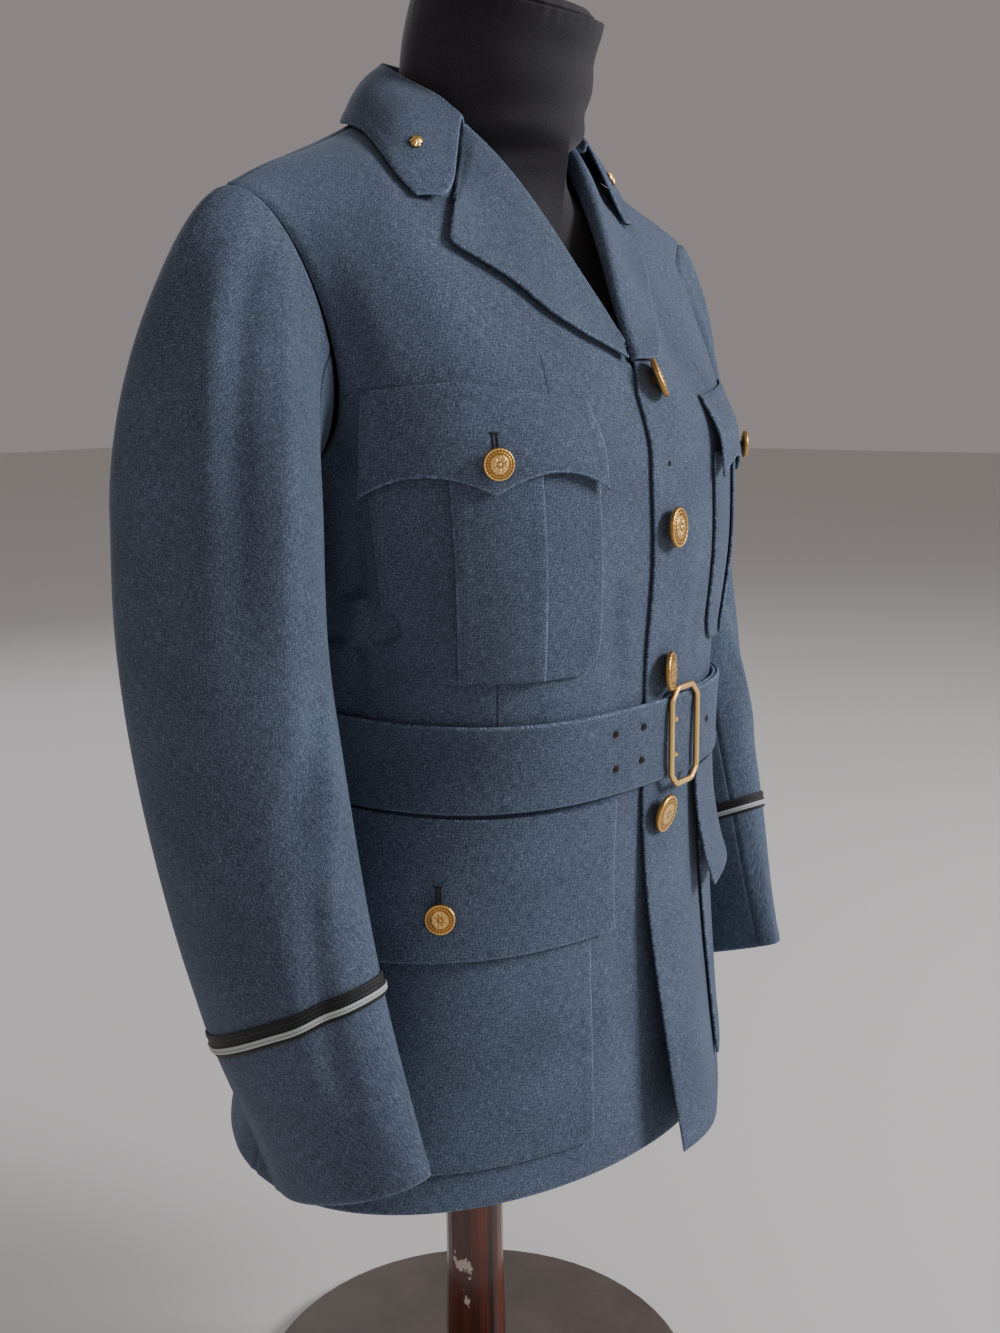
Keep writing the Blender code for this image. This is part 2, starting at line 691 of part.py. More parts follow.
def make_patch(name, side, spans, rows, out, thickness=WALL, cols=9):
    """A flat piece on a front: spans gives the first and last place round the body at a height."""
    outer = np.zeros((len(rows), cols, 3))
    normals = np.zeros_like(outer)
    for i, h in enumerate(rows):
        first, last = spans(h)
        for j, s in enumerate(np.linspace(0, 1, cols)):
            l = first + (last - first) * s
            outer[i, j] = on_front(side, l, h, out)
            normals[i, j] = on_front(side, l, h, out + 1) - outer[i, j]
    return wall(name + "_" + side, outer, normals, thickness)


def rounded_span(pocket, scale):
    """Span of a pocket whose two lower corners are rounded."""
    def span(h):
        inset = 0.0
        radius = pocket.get("corner", 4.0)
        above = h - pocket["low"]
        if above < radius:
            inset = radius - math.sqrt(max(radius**2 - (radius - above) ** 2, 0))
        half = pocket["half"] - inset
        k = scale(h)
        return (pocket["centre"] - half) * k, (pocket["centre"] + half) * k
    return span


def along_ring(reference):
    """Scale that keeps a pocket's edges plumb as the ring grows."""
    def scale(h):
        return ring_length(min(h, CHEST_Z)) / ring_length(reference)
    return scale


def chest_scale(h):
    """Chest pocket edges run a little inwards to the waist with the ring."""
    return (ring_length(min(h, CHEST_Z)) / ring_length(CHEST_Z)) ** 0.75


def make_chest_pocket(side):
    low, corner = CHEST_POCKET["low"], CHEST_POCKET["corner"]
    rows = np.r_[low + corner * np.array([0.02, 0.15, 0.45, 1.0]),
                 np.linspace(low + 45, CHEST_POCKET["high"], 4)]
    make_patch("chest_pocket", side, rounded_span(CHEST_POCKET, chest_scale), rows, LIFT + WALL)
    pleat = {"centre": CHEST_POCKET["centre"] - 2, "half": PLEAT_HALF, "corner": 0.01, "low": low}
    rows = np.linspace(low + 1, CHEST_POCKET["high"], 6)
    make_patch("chest_pleat", side, rounded_span(pleat, chest_scale), rows,
               2 * LIFT + 2 * WALL, cols=4)


def flap_wall(name, side, centre, half_top, half_low, high, bottom, out, cols, drop=0.0, flare=0.0):
    """A pocket flap: sewn on at its straight top edge, lying over the pocket at its lower edge."""
    shares = np.linspace(0, 1, cols)
    rows = np.array([0, 0.35, 0.7, 1.0])
    outer = np.zeros((len(rows), cols, 3))
    normals = np.zeros_like(outer)
    for j, s in enumerate(shares):
        low = bottom(s)
        for i, r in enumerate(rows):
            h = high + (low - high) * r
            half = half_top + (half_low - half_top) * r
            l = centre(h) + half * (2 * s - 1)
            stand = out - drop * (1 - ease(r / 0.6)) + flare * r**2
            outer[i, j] = on_front(side, l, h, stand)
            normals[i, j] = unit(on_front(side, l, h, stand + 1) - outer[i, j])
    return wall(name + "_" + side, outer, normals, WALL)


def make_chest_flap(side):
    def bottom(s):
        return CHEST_FLAP["low"] + CHEST_FLAP["scallop"] * abs(math.sin(2 * math.pi * s)) ** 0.8
    flap_wall("chest_flap", side, lambda h: CHEST_POCKET["centre"], CHEST_FLAP["half"] - 2,
              CHEST_FLAP["half"], CHEST_FLAP["high"], bottom, 3 * LIFT + 3 * WALL, 21, SEWN_DROP)


def make_hip_pocket(side):
    scale = along_ring(HIP_REF_Z)
    rows = np.linspace(HIP_POCKET["low"], HIP_POCKET["high"], 9)
    make_patch("hip_pocket", side, rounded_span(HIP_POCKET, scale), rows,
               LIFT + WALL + HIP_FULLNESS, cols=11)
    flap_wall("hip_flap", side, lambda h: HIP_POCKET["centre"] * scale(h), HIP_FLAP["half"],
              HIP_FLAP["half"], HIP_FLAP["high"], lambda s: HIP_FLAP["low"],
              2 * LIFT + 2 * WALL + HIP_FULLNESS, 13, 0.0, HIP_FLARE[side])


def belt_path(u):
    """Outer face of the belt at u millimetres from its inner end, as place and stand-off."""
    whole = 2 * ring_length(BELT_Z)
    place = BELT_INNER_END + u
    over = ease((place - (whole - 60)) / 70)
    return place, BELT_GAP + BELT_WALL + over * (BELT_WALL + 0.7)


def belt_at(u, height):
    """Point of the belt's outer face, whichever side of the body it has reached."""
    whole = 2 * ring_length(BELT_Z)
    place, out = belt_path(u)
    l = place % whole
    side = "left"
    if l > whole / 2:
        l, side = whole - l, "right"

    def face(a, h):
        p = ring_at(max(a, 0.0), h)
        return mirror(p, side)
    n = normal_of(face, max(l, 0.6), height)
    n = unit(n * np.array([1, 1, 0]))
    if l < 0.6:
        n = np.array([0, -1.0, 0])
    return face(l, height) + n * out, n


def make_belt():
    """One strap once round the waist; its tip passes through the buckle and lies over the start."""
    whole = 2 * ring_length(BELT_Z)
    length = whole + BELT_TIP_END - BELT_INNER_END
    steps = np.linspace(0, length, 68)
    half = BELT_WIDTH / 2
    levels = [BELT_Z - half, BELT_Z, BELT_Z + half]
    outer = np.zeros((len(levels), len(steps), 3))
    normals = np.zeros_like(outer)
    for i, z in enumerate(levels):
        for j, u in enumerate(steps):
            tip = max(0.0, (u - (length - 18)) / 18)
            height = BELT_Z + (z - BELT_Z) * (1 - 0.35 * tip**2)
            outer[i, j], normals[i, j] = belt_at(u, height)
    return wall("belt", outer, normals, BELT_WALL)


def belt_frame(l):
    """Place, outward and sideways directions on the overlapping strap in front of the body."""
    whole = 2 * ring_length(BELT_Z)
    p, out = belt_at(whole + l - BELT_INNER_END, BELT_Z)
    along = np.cross(np.array([0, 0, 1.0]), out)
    return p, out, along if along[0] > 0 else -along


def make_buckle():
    """Rectangular wire frame with cut corners, lying on the strap."""
    p, out, along = belt_frame(BUCKLE_CENTRE)
    up = np.array([0, 0, 1.0])
    w = BUCKLE_HALF_WIDTH - BUCKLE_WIRE
    h = BUCKLE_HALF_HEIGHT - BUCKLE_WIRE
    cut = BUCKLE_CORNER
    corners = [(w, h - cut), (w - cut, h), (cut - w, h), (-w, h - cut),
               (-w, cut - h), (cut - w, -h), (w - cut, -h), (w, cut - h)]
    centre = p + out * (BUCKLE_WIRE + BUCKLE_GAP)
    points, faces = [], []
    for k, (a, b) in enumerate(corners):
        before, after = corners[k - 1], corners[(k + 1) % len(corners)]
        way = unit(along * (after[0] - before[0]) + up * (after[1] - before[1]))
        away = np.cross(way, out)
        stretch = 1.0 / math.cos(math.radians(22.5))
        for q in range(WIRE_SIDES):
            turn = 2 * math.pi * q / WIRE_SIDES
            ring = away * math.cos(turn) * stretch + out * math.sin(turn)
            points.append(centre + along * a + up * b + ring * BUCKLE_WIRE)
    count = len(corners)
    for k in range(count):
        here = k * WIRE_SIDES
        there = (k + 1) % count * WIRE_SIDES
        for q in range(WIRE_SIDES):
            n = (q + 1) % WIRE_SIDES
            faces.append((here + q, here + n, there + n, there + q))
    solid("buckle_frame", points, faces, "gilt")
    return centre, out, along, up


def revolve(name, profile, place, axis, finish, sides=16):
    """Turn a profile of (radius, height) pairs about an axis; closed at both ends."""
    helper = np.array([0, 0, 1.0]) if abs(axis[2]) < 0.9 else np.array([1.0, 0, 0])
    a = unit(np.cross(helper, axis))
    b = np.cross(axis, a)
    points, faces, rings = [], [], []
    for radius, height in profile:
        if radius < 1e-6:
            rings.append([len(points)])
            points.append(place + axis * height)
            continue
        ring = []
        for k in range(sides):
            turn = 2 * math.pi * k / sides
            ring.append(len(points))
            points.append(place + axis * height + (a * math.cos(turn) + b * math.sin(turn)) * radius)
        rings.append(ring)
    for low, high in zip(rings, rings[1:]):
        for k in range(sides):
            n = (k + 1) % sides
            if len(low) == 1:
                faces.append((low[0], high[n], high[k]))
            elif len(high) == 1:
                faces.append((low[k], low[n], high[0]))
            else:
                faces.append((low[k], low[n], high[n], high[k]))
    return solid(name, points, faces, finish)


def make_button(name, place, axis, radius, sides=16):
    """A domed gilt button on its shank; the profile runs from the shank's foot to the crown."""
    rim = 0.16 * radius
    profile = [(0, 0), (SHANK_R, 0), (SHANK_R, SHANK_HEIGHT), (radius * 0.72, 3.0), (radius, 4.2),
               (radius * 0.96, 4.4 + rim), (radius * 0.6, 5.0 + rim), (0, 5.5 + rim)]
    return revolve(name, profile, place, axis, "gilt", sides)


def make_prongs(centre, out, along, up):
    """Two short prongs that stand through the strap beside the buckle's bar."""
    profile = [(0, 0), (1.5, 0), (1.9, 1.0), (1.9, 2.0), (1.2, 3.0), (0, 3.3)]
    for name, level in PRONG_LEVELS.items():
        foot = centre - along * (BUCKLE_HALF_WIDTH - PRONG_IN) + up * level - out * 2.15
        revolve("buckle_prong_" + name, profile, foot, out, "gilt", 8)


def make_front_buttons():
    for name, z, turn, nod in FRONT_BUTTONS:
        place = on_front("left", 0.5, z, 0.0)
        out = on_front("left", 0.5, z, 1.0) - place
        a, n = math.radians(turn), math.radians(nod)
        axis = unit(np.array([out[0] * math.cos(a) - out[1] * math.sin(a),
                              out[0] * math.sin(a) + out[1] * math.cos(a), out[2] + math.sin(n)]))
        tilt = math.sqrt(max(1 - (axis @ out) ** 2, 0))
        make_button("front_button_" + name, place + out * (0.55 + SHANK_R * tilt), axis, FRONT_BUTTON_R)


def make_pocket_buttons(side):
    stand = 3 * LIFT + 3 * WALL
    h = CHEST_FLAP["low"] + CHEST_BUTTON_UP
    place = on_front(side, CHEST_POCKET["centre"], h, stand + 0.5)
    axis = unit(on_front(side, CHEST_POCKET["centre"], h, stand + 1.5) - place)
    make_button("chest_button_" + side, place, axis, POCKET_BUTTON_R, 12)
    scale = along_ring(HIP_REF_Z)
    h = HIP_FLAP["low"] + HIP_BUTTON_UP
    l = HIP_POCKET["centre"] * scale(h)
    down = (HIP_FLAP["high"] - h) / (HIP_FLAP["high"] - HIP_FLAP["low"])
    stand = 2 * LIFT + 2 * WALL + HIP_FULLNESS + HIP_FLARE[side] * down**2
    place = on_front(side, l, h, stand + 0.8)
    axis = unit(on_front(side, l, h, stand + 1.8) - place)
    make_button("hip_button_" + side, place, axis, POCKET_BUTTON_R, 12)


def make_pin(side):
    """Small plain lozenge pin on the fall of the collar."""
    section = collar_section(side, 0.13)
    before = collar_section(side, 0.10)
    centre = (section[6] + section[7]) / 2
    along = unit(section[8] - section[5])
    across = unit(section[6] - before[6])
    n = unit(np.cross(along, across))
    if n @ np.array([0, -1.0, 1.0]) < 0:
        n = -n
    across = np.cross(along, n)
    outline = [(-5.0, 0), (0.5, 3.6), (4.5, 2.6), (4.5, -2.6), (0.5, -3.6)]
    base = centre + n * (WALL / 2 + 0.5)
    low = [base + along * a + across * b for a, b in outline]
    high = [base + n * 1.8 + along * a * 0.75 + across * b * 0.7 for a, b in outline]
    points = low + high
    count = len(outline)
    faces = [tuple(range(count)), tuple(range(2 * count - 1, count - 1, -1))]
    for k in range(count):
        m = (k + 1) % count
        faces.append((k, k + count, m + count, m))
    solid("collar_pin_" + side, points, faces, "gilt")


def make_form():
    """Padded dress form from the hips to the cut neck."""
    cols = 36
    turns = np.linspace(0, 2 * math.pi, cols, endpoint=False)
    points, rings = [], []
    for z, half, front, back, widest, power in FORM_RINGS:
        ring = []
        for turn in turns:
            s, c = math.sin(turn), math.cos(turn)
            x = half * math.copysign(abs(s) ** (2 / power), s)
            reach = (front if c > 0 else back) - widest
            y = widest + reach * abs(c) ** (2 / power)
            tilt = NECK_TOP_TILT * (y - widest) * ease((z - 930) / 45)
            ring.append(len(points))
            points.append(np.array([x, y, z + tilt]))
        rings.append(ring)
    faces = [tuple(rings[0]), tuple(reversed(rings[-1]))]
    for low, high in zip(rings, rings[1:]):
        for k in range(cols):
            n = (k + 1) % cols
            faces.append((low[n], low[k], high[k], high[n]))
    solid("dress_form", points, faces, "form")


def make_neck_cap():
    """Shallow domed cap on the slanted cut of the neck."""
    z, half, front, back, widest, power = FORM_RINGS[-1]
    axis = unit(np.array([0, -NECK_TOP_TILT, 1.0]))
    centre = np.array([0, (front + back) / 2, z + NECK_TOP_TILT * ((front + back) / 2 - widest)])
    profile = [(0, 0.35), (53, 0.35), (53.5, 2.0), (48, 6.0), (30, 9.0), (0, 10.5)]
    revolve("neck_cap", profile, centre, axis, "form", 24)


def make_stand():
    up = np.array([0, 0, 1.0])
    origin = np.zeros(3)
    base = [(0, 0), (BASE_R - 2, 0), (BASE_R, 2), (BASE_R, BASE_T - 3), (BASE_R - 3, BASE_T), (0, BASE_T)]
    revolve("base_plate", base, origin, up, "base", 56)
    pole = [(0, BASE_T + SEAM), (POLE_R + 1.2, BASE_T + SEAM), (POLE_R + 1.2, 60), (POLE_R, 110),
            (POLE_R, FORM_LOW - SEAM), (0, FORM_LOW - SEAM)]
    revolve("pole", pole, origin, up, "pole", 24)


def build():
    clear_scene()
    make_stand()
    make_form()
    make_neck_cap()
    for side in ("left", "right"):
        make_front(side)
        make_back(side)
        make_sleeve("sleeve_top", side, HINDARM_SEAM, FOREARM_SEAM)
        make_sleeve("sleeve_under", side, FOREARM_SEAM, 360 + HINDARM_SEAM)
        lace_ring(side, "lace", LACE_WIDTH, LACE_LIFT, LACE_WALL, "lace")
        lace_ring(side, "lace_stripe", STRIPE_WIDTH, STRIPE_LIFT, STRIPE_WALL, "stripe")
        make_lapel(side)
        make_chest_pocket(side)
        make_chest_flap(side)
        make_hip_pocket(side)
        make_pocket_buttons(side)
        make_pin(side)
    make_collar()
    make_belt()
    centre, out, along, up = make_buckle()
    make_prongs(centre, out, along, up)
    make_front_buttons()


build()
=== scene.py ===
"""Looks for a belted wool officer's tunic on its dress form and stand.

Sizes are in millimetres on the cut cloth, and are turned to metres when a mesh is made.
+X is the wearer's left, the front faces -Y and Z is up from the floor.
"""
import bpy
import math
import numpy as np
from mathutils import Matrix, Vector


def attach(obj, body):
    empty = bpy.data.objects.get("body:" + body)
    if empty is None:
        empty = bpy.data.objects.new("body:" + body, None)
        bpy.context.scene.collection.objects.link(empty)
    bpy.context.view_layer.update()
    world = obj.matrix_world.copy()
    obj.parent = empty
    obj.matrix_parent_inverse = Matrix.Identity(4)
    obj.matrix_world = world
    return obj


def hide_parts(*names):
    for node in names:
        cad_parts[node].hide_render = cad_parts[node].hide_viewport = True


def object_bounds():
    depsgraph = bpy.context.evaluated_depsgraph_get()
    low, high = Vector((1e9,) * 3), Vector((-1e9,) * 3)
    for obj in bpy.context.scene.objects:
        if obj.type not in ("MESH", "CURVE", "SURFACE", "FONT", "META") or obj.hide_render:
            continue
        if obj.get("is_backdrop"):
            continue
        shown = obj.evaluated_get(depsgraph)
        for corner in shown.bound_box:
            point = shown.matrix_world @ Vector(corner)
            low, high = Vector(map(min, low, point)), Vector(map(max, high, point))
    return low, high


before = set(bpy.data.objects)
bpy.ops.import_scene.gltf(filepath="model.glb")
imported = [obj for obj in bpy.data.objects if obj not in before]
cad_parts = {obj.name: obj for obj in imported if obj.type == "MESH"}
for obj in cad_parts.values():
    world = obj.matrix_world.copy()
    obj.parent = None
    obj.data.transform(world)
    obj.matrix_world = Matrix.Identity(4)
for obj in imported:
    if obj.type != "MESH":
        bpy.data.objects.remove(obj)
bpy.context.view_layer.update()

# Camera, floor and light.
# A phone held at chest height, ahead of the wearer's right shoulder and looking slightly down.
EYE = Vector((-0.789816, -0.618605, 0.745856))
AHEAD = Vector((0.78665676, 0.58780737, -0.18882171)).normalized()
ROLL = math.radians(-0.56)
level_right = AHEAD.cross(Vector((0, 0, 1))).normalized()
level_up = level_right.cross(AHEAD)
right = level_right * math.cos(ROLL) + level_up * math.sin(ROLL)
up = level_up * math.cos(ROLL) - level_right * math.sin(ROLL)
camera_data = bpy.data.cameras.new("camera")
camera_data.sensor_width = 36.0
camera_data.lens = 40.09
camera_data.clip_end = 60
camera = bpy.data.objects.new("camera", camera_data)
bpy.context.scene.collection.objects.link(camera)
camera.matrix_world = Matrix((
    (right.x, up.x, -AHEAD.x, EYE.x),
    (right.y, up.y, -AHEAD.y, EYE.y),
    (right.z, up.z, -AHEAD.z, EYE.z),
    (0, 0, 0, 1)))
bpy.context.scene.camera = camera


def colour(code):
    """An sRGB hex colour as linear red, green, blue and alpha."""
    parts = [int(code[i:i + 2], 16) / 255 for i in (1, 3, 5)]
    return [p / 12.92 if p <= 0.04045 else ((p + 0.055) / 1.055) ** 2.4 for p in parts] + [1.0]


def area_light(name, place, target, size, power, tint):
    data = bpy.data.lights.new(name, "AREA")
    data.shape = "DISK"
    data.size = size
    data.energy = power
    data.color = colour(tint)[:3]
    lamp = bpy.data.objects.new(name, data)
    bpy.context.scene.collection.objects.link(lamp)
    lamp.location = place
    lamp.rotation_euler = (Vector(target) - Vector(place)).to_track_quat("-Z", "Y").to_euler()


area_light("window", (1.5, -2.5, 1.9), (0, 0, 0.65), 1.2, 95, "#fbfbff")
area_light("room", (-2.6, -1.2, 1.6), (0, 0, 0.6), 2.4, 7, "#ffe6de")
area_light("behind", (1.2, 2.6, 2.2), (0, 0, 0.7), 1.4, 26, "#f4f6ff")
world = bpy.data.worlds.new("studio")
world.use_nodes = True
world.node_tree.nodes["Background"].inputs["Color"].default_value = colour("#e9dfdc")
world.node_tree.nodes["Background"].inputs["Strength"].default_value = 0.33
bpy.context.scene.world = world


def node(tree, kind, settings=None, numbered=(), stops=(), **inputs):
    """Add a node to a material, with its settings, and a value or a link for each input, by its
    number or its name. stops are the places and colours along a colour ramp."""
    made = tree.nodes.new("ShaderNode" + kind)
    for key, value in (settings or {}).items():
        setattr(made, key, value)
    if stops:
        marks = made.color_ramp.elements
        for k, (where, code) in enumerate((stops[0], stops[-1])):
            marks[k].position, marks[k].color = where, colour(code)
        for where, code in stops[1:-1]:
            marks.new(where).color = colour(code)
    named = [(key.replace("_", " "), value) for key, value in inputs.items()]
    for key, value in [*enumerate(numbered), *named]:
        if isinstance(value, bpy.types.NodeSocket):
            tree.links.new(value, made.inputs[key])
        else:
            made.inputs[key].default_value = value
    return made


def new_material(name, roughness, metallic=0.0, **shader):
    """A Principled material; uniform values go straight on its sockets."""
    made = bpy.data.materials.new(name)
    made.use_nodes = True
    tree = made.node_tree
    principled = tree.nodes["Principled BSDF"]
    principled.inputs["Roughness"].default_value = roughness
    principled.inputs["Metallic"].default_value = metallic
    for key, value in shader.items():
        principled.inputs[key.replace("_", " ")].default_value = value
    return made, tree, principled


def mesh_object(name, points, faces, material, smooth=True):
    """A piece from points in millimetres, its faces turned outward."""
    points = np.asarray(points, float)
    low = points - points.mean(0)
    total = 0.0
    for size in (3, 4):
        group = np.array([f for f in faces if len(f) == size])
        for k in range(1, size - 1):
            if len(group):
                a, b, c = low[group[:, 0]], low[group[:, k]], low[group[:, k + 1]]
                total += (a * np.cross(b, c)).sum()
    if total < 0:
        faces = [tuple(reversed(f)) for f in faces]
    mesh = bpy.data.meshes.new(name)
    mesh.from_pydata((points * 0.001).tolist(), [], faces)
    mesh.update()
    if smooth:
        mesh.shade_smooth()
    mesh.materials.append(material)
    made = bpy.data.objects.new(name, mesh)
    bpy.context.scene.collection.objects.link(made)
    return made


floor_material, floor_tree, floor_shader = new_material("studio_floor", 0.8)
floor_shade = node(floor_tree, "TexNoise", Scale=3.0, Detail=3.0)
floor_mix = node(floor_tree, "Mix", {"data_type": "RGBA"}, Factor=floor_shade.outputs["Fac"],
                 A=colour("#dddcd9"), B=colour("#e3e2df"))
floor_tree.links.new(floor_mix.outputs["Result"], floor_shader.inputs["Base Color"])
REACH, DROP = 14000, -0.5
floor = mesh_object("floor", [(-REACH, -REACH, DROP), (REACH, -REACH, DROP), (REACH, REACH, DROP),
                              (-REACH, REACH, DROP)], [(0, 1, 2, 3)], floor_material)
floor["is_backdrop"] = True


# Fronts.
# Two fronts of blue-grey wool barathea, tailored to the chest and cut in at the waist. The left
# laps over the right; both are pressed, sewn at the side and shoulder, and turned at the edges.
WALL = 1.6
HEM_Z, CHEST_Z, RISE = 258.0, 700.0, 250.0
SHOULDER_X, HALF_CHEST, SIDE_SHARE, SIDE_DRIFT = 231.0, 259.0, 0.5, 0.06
OVERLAP, UNDERLAP = 16.0, 18.0
# height, half width, front, back, widest at, roundness
BODY_RINGS = np.array([
    (258, 203, -163, 150, -22, 1.95), (330, 188, -157, 133, -20, 2.05),
    (420, 173, -150, 119, -20, 2.25), (476, 158, -149, 113, -20, 2.50),
    (523, 146, -150, 109, -20, 2.75), (567, 149, -151, 108, -20, 2.85),
    (640, 165, -156, 113, -20, 2.80), (700, 175, -154, 118, -20, 2.70)], float)
# out from the centre, fore-aft place, height
SHOULDER_LINE = np.array([(0, 12, 922), (40, 10, 918), (78, 4, 905), (120, -4, 888),
                          (165, -14, 872), (200, -22, 860), (231, -28, 847)], float)
# How full the cloth is above the chest, by share from the centre front to the side
CHEST_LIFT = ((0, 0.3, 0.6, 1), (40, 42, 76, 62))
CHEST_REACH = ((0, 0.3, 0.45, 0.6, 1), (72, 74, 64, 52, 24))
# The left side of the chest sits back, and the left front lies over the right and swings out
LEFT_BACK, LEFT_OVER, LEFT_SWING, SWING_FROM = 12.0, 3.0, 20.0, 490.0
# How much each armhole bows in between chest and shoulder; the gap left at a seam
ARM_BOW = {"front": 0.13, "back": 0.10}
SEAM_GAP = 0.15
# Roll lines of the lapels: share up the chest, share out to the armhole
ROLL_LINE = {
    "left": np.array([
        (0.14, -0.085), (0.20, -0.062), (0.235, -0.042), (0.272, -0.03), (0.334, -0.024),
        (0.406, 0.0), (0.479, 0.04), (0.552, 0.09), (0.64, 0.16), (0.77, 0.245),
        (0.88, 0.285), (1.00, 0.31),
    ], float),
    "right": np.array([
        (0.14, -0.075), (0.20, -0.02), (0.256, 0.035), (0.317, 0.062), (0.374, 0.09),
        (0.43, 0.122), (0.50, 0.155), (0.60, 0.195), (0.77, 0.25), (0.88, 0.285),
        (1.00, 0.31),
    ], float),
}
# Half width of the neck hole as a share of the half chest, and its lowest place at the back
NECK_SHARE, NECK_LOW = 0.31, 0.855


def smooth_at(table, key):
    """Read a table at one key or many, on a smooth curve through its rows."""
    keys, values = table[:, 0], table[:, 1:]
    slopes = np.gradient(values, keys, axis=0)
    key = np.asarray(key, float)
    i = np.clip(np.searchsorted(keys, key) - 1, 0, len(keys) - 2)
    step = (keys[i + 1] - keys[i])[..., None]
    t = (key - keys[i])[..., None] / step
    c = np.clip(t, 0, 1)
    h = 2 * c**3 - 3 * c**2 + 1
    inside = (h * values[i] + (c**3 - 2 * c**2 + c) * step * slopes[i]
              + (1 - h) * values[i + 1] + (c**3 - c**2) * step * slopes[i + 1])
    before = np.where(t < 0, t * step * slopes[i], 0)
    return inside + np.where(t > 1, (t - 1) * step * slopes[i + 1], before)


def ease(x):
    x = np.clip(x, 0, 1)
    return x * x * (3 - 2 * x)


def unit(v):
    return v / np.linalg.norm(v, axis=-1, keepdims=True)


def ring_shape(turn, z):
    half, front, back, widest, power = np.moveaxis(smooth_at(BODY_RINGS, z), -1, 0)
    s, c = np.abs(np.sin(turn)), np.cos(turn)
    reach = np.where(c > 0, front - widest, back - widest)
    return np.stack([half * s ** (2 / power), widest + reach * np.abs(c) ** (2 / power),
                     np.broadcast_to(z, np.shape(turn)).astype(float)], -1)


# Turn of the ring at each share of its length, and its length, at even steps of height
LEVEL_STEP = 4.0
ring_levels = np.arange(236.0, 709.0, LEVEL_STEP)
ring_shares = np.linspace(0, 1, 401)
ring_turns, ring_lengths = [], []
for level in ring_levels:
    fine = np.linspace(0, math.pi, 1601)
    line = ring_shape(fine, np.full_like(fine, level))
    run = np.r_[0, np.cumsum(np.linalg.norm(np.diff(line, axis=0), axis=1))]
    ring_lengths.append(run[-1])
    ring_turns.append(np.interp(ring_shares * run[-1], run, fine))
ring_turns, ring_lengths = np.array(ring_turns), np.array(ring_lengths)


def ring_length(z):
    return np.interp(z, ring_levels, ring_lengths)


def ring_at(l, z):
    """Points l mm round the body from the centre front, at height z."""
    l, z = np.broadcast_arrays(np.asarray(l, float), np.asarray(z, float))
    share = np.clip(np.abs(l) / ring_length(z), 0, 1) * (len(ring_shares) - 1)
    row = np.clip((z - ring_levels[0]) / LEVEL_STEP, 0, len(ring_levels) - 1.001)
    i, j = row.astype(int), np.minimum(share.astype(int), len(ring_shares) - 2)
    a, b = row - i, share - j
    turn = ((1 - a) * ((1 - b) * ring_turns[i, j] + b * ring_turns[i, j + 1])
            + a * ((1 - b) * ring_turns[i + 1, j] + b * ring_turns[i + 1, j + 1]))
    p = ring_shape(turn, z)
    p[..., 0] = np.where(l < 0, -p[..., 0], p[..., 0])
    return p


def shoulder_at(m):
    x = np.abs(m) * SHOULDER_X
    yz = smooth_at(SHOULDER_LINE, x)
    return np.stack([np.where(m < 0, -x, x), yz[..., 0], yz[..., 1]], -1)


def chest_rise(m, t, front):
    """Cloth from the chest ring (t 0) up to the shoulder line (t 1)."""
    side = SIDE_SHARE * ring_length(CHEST_Z)
    whole = ring_length(CHEST_Z)
    l = m * side if front else np.where(m < 0, -1, 1) * (whole - np.abs(m) * side)
    low = ring_at(l, CHEST_Z)
    up_way = unit(low - ring_at(l, CHEST_Z - 8.0))
    top = shoulder_at(m)
    share = np.minimum(np.abs(m), 1.0)
    lift = np.interp(share, *(CHEST_LIFT if front else ((0, 1), (95, 62))))[..., None]
    reach = np.interp(share, *(CHEST_REACH if front else ((0, 1), (70, 30))))[..., None]
    out = np.array([0, -1.0 if front else 1.0, -0.02])
    t = t[..., None]
    return ((1 - t)**3 * low + 3 * (1 - t)**2 * t * (low + up_way * lift)
            + 3 * (1 - t) * t**2 * (top + out * reach) + t**3 * top)


def mirror(p, side):
    return p * np.array([1 if side == "left" else -1, 1, 1])


def front_form(side, l, h):
    """Smooth outer face of a front, before its folds."""
    l, h = np.broadcast_arrays(np.asarray(l, float), np.asarray(h, float))
    low = ring_at(l, np.minimum(h, CHEST_Z))
    high = chest_rise(l / HALF_CHEST, np.maximum(h - CHEST_Z, 0) / RISE, True)
    p = np.where((h <= CHEST_Z)[..., None], low, high)
    if side == "left":
        lift = LEFT_OVER * (1 - ease((l - 20) / 52))
        drop = np.clip((SWING_FROM - h) / (SWING_FROM - HEM_Z), 0, None)
        swing = LEFT_SWING * drop**1.3 * (1 - ease(np.maximum(l, 0) / 130.0))
        m, t = l / HALF_CHEST, (h - CHEST_Z) / RISE
        back = ease(m / 0.3) * ease((0.75 - m) / 0.4) * ease((t - 0.1) / 0.3) * ease((0.85 - t) / 0.35)
        p = p - np.stack([0 * l, lift + swing - LEFT_BACK * back, 0 * l], -1)
    return mirror(p, side)


def slopes_normal(face, u, v, outward):
    """Outward normals of a surface at many places."""
    high = np.where((v <= CHEST_Z) & (v + 0.5 > CHEST_Z), v, v + 0.5)
    low = np.where((v > CHEST_Z) & (v - 0.5 < CHEST_Z), v, v - 0.5)
    n = unit(np.cross(face(u + 0.5, v) - face(u - 0.5, v), face(u, high) - face(u, low)))
    p = face(u, v)
    away = p + outward
    return np.where(((n * away).sum(-1) < 0)[..., None], -n, n)


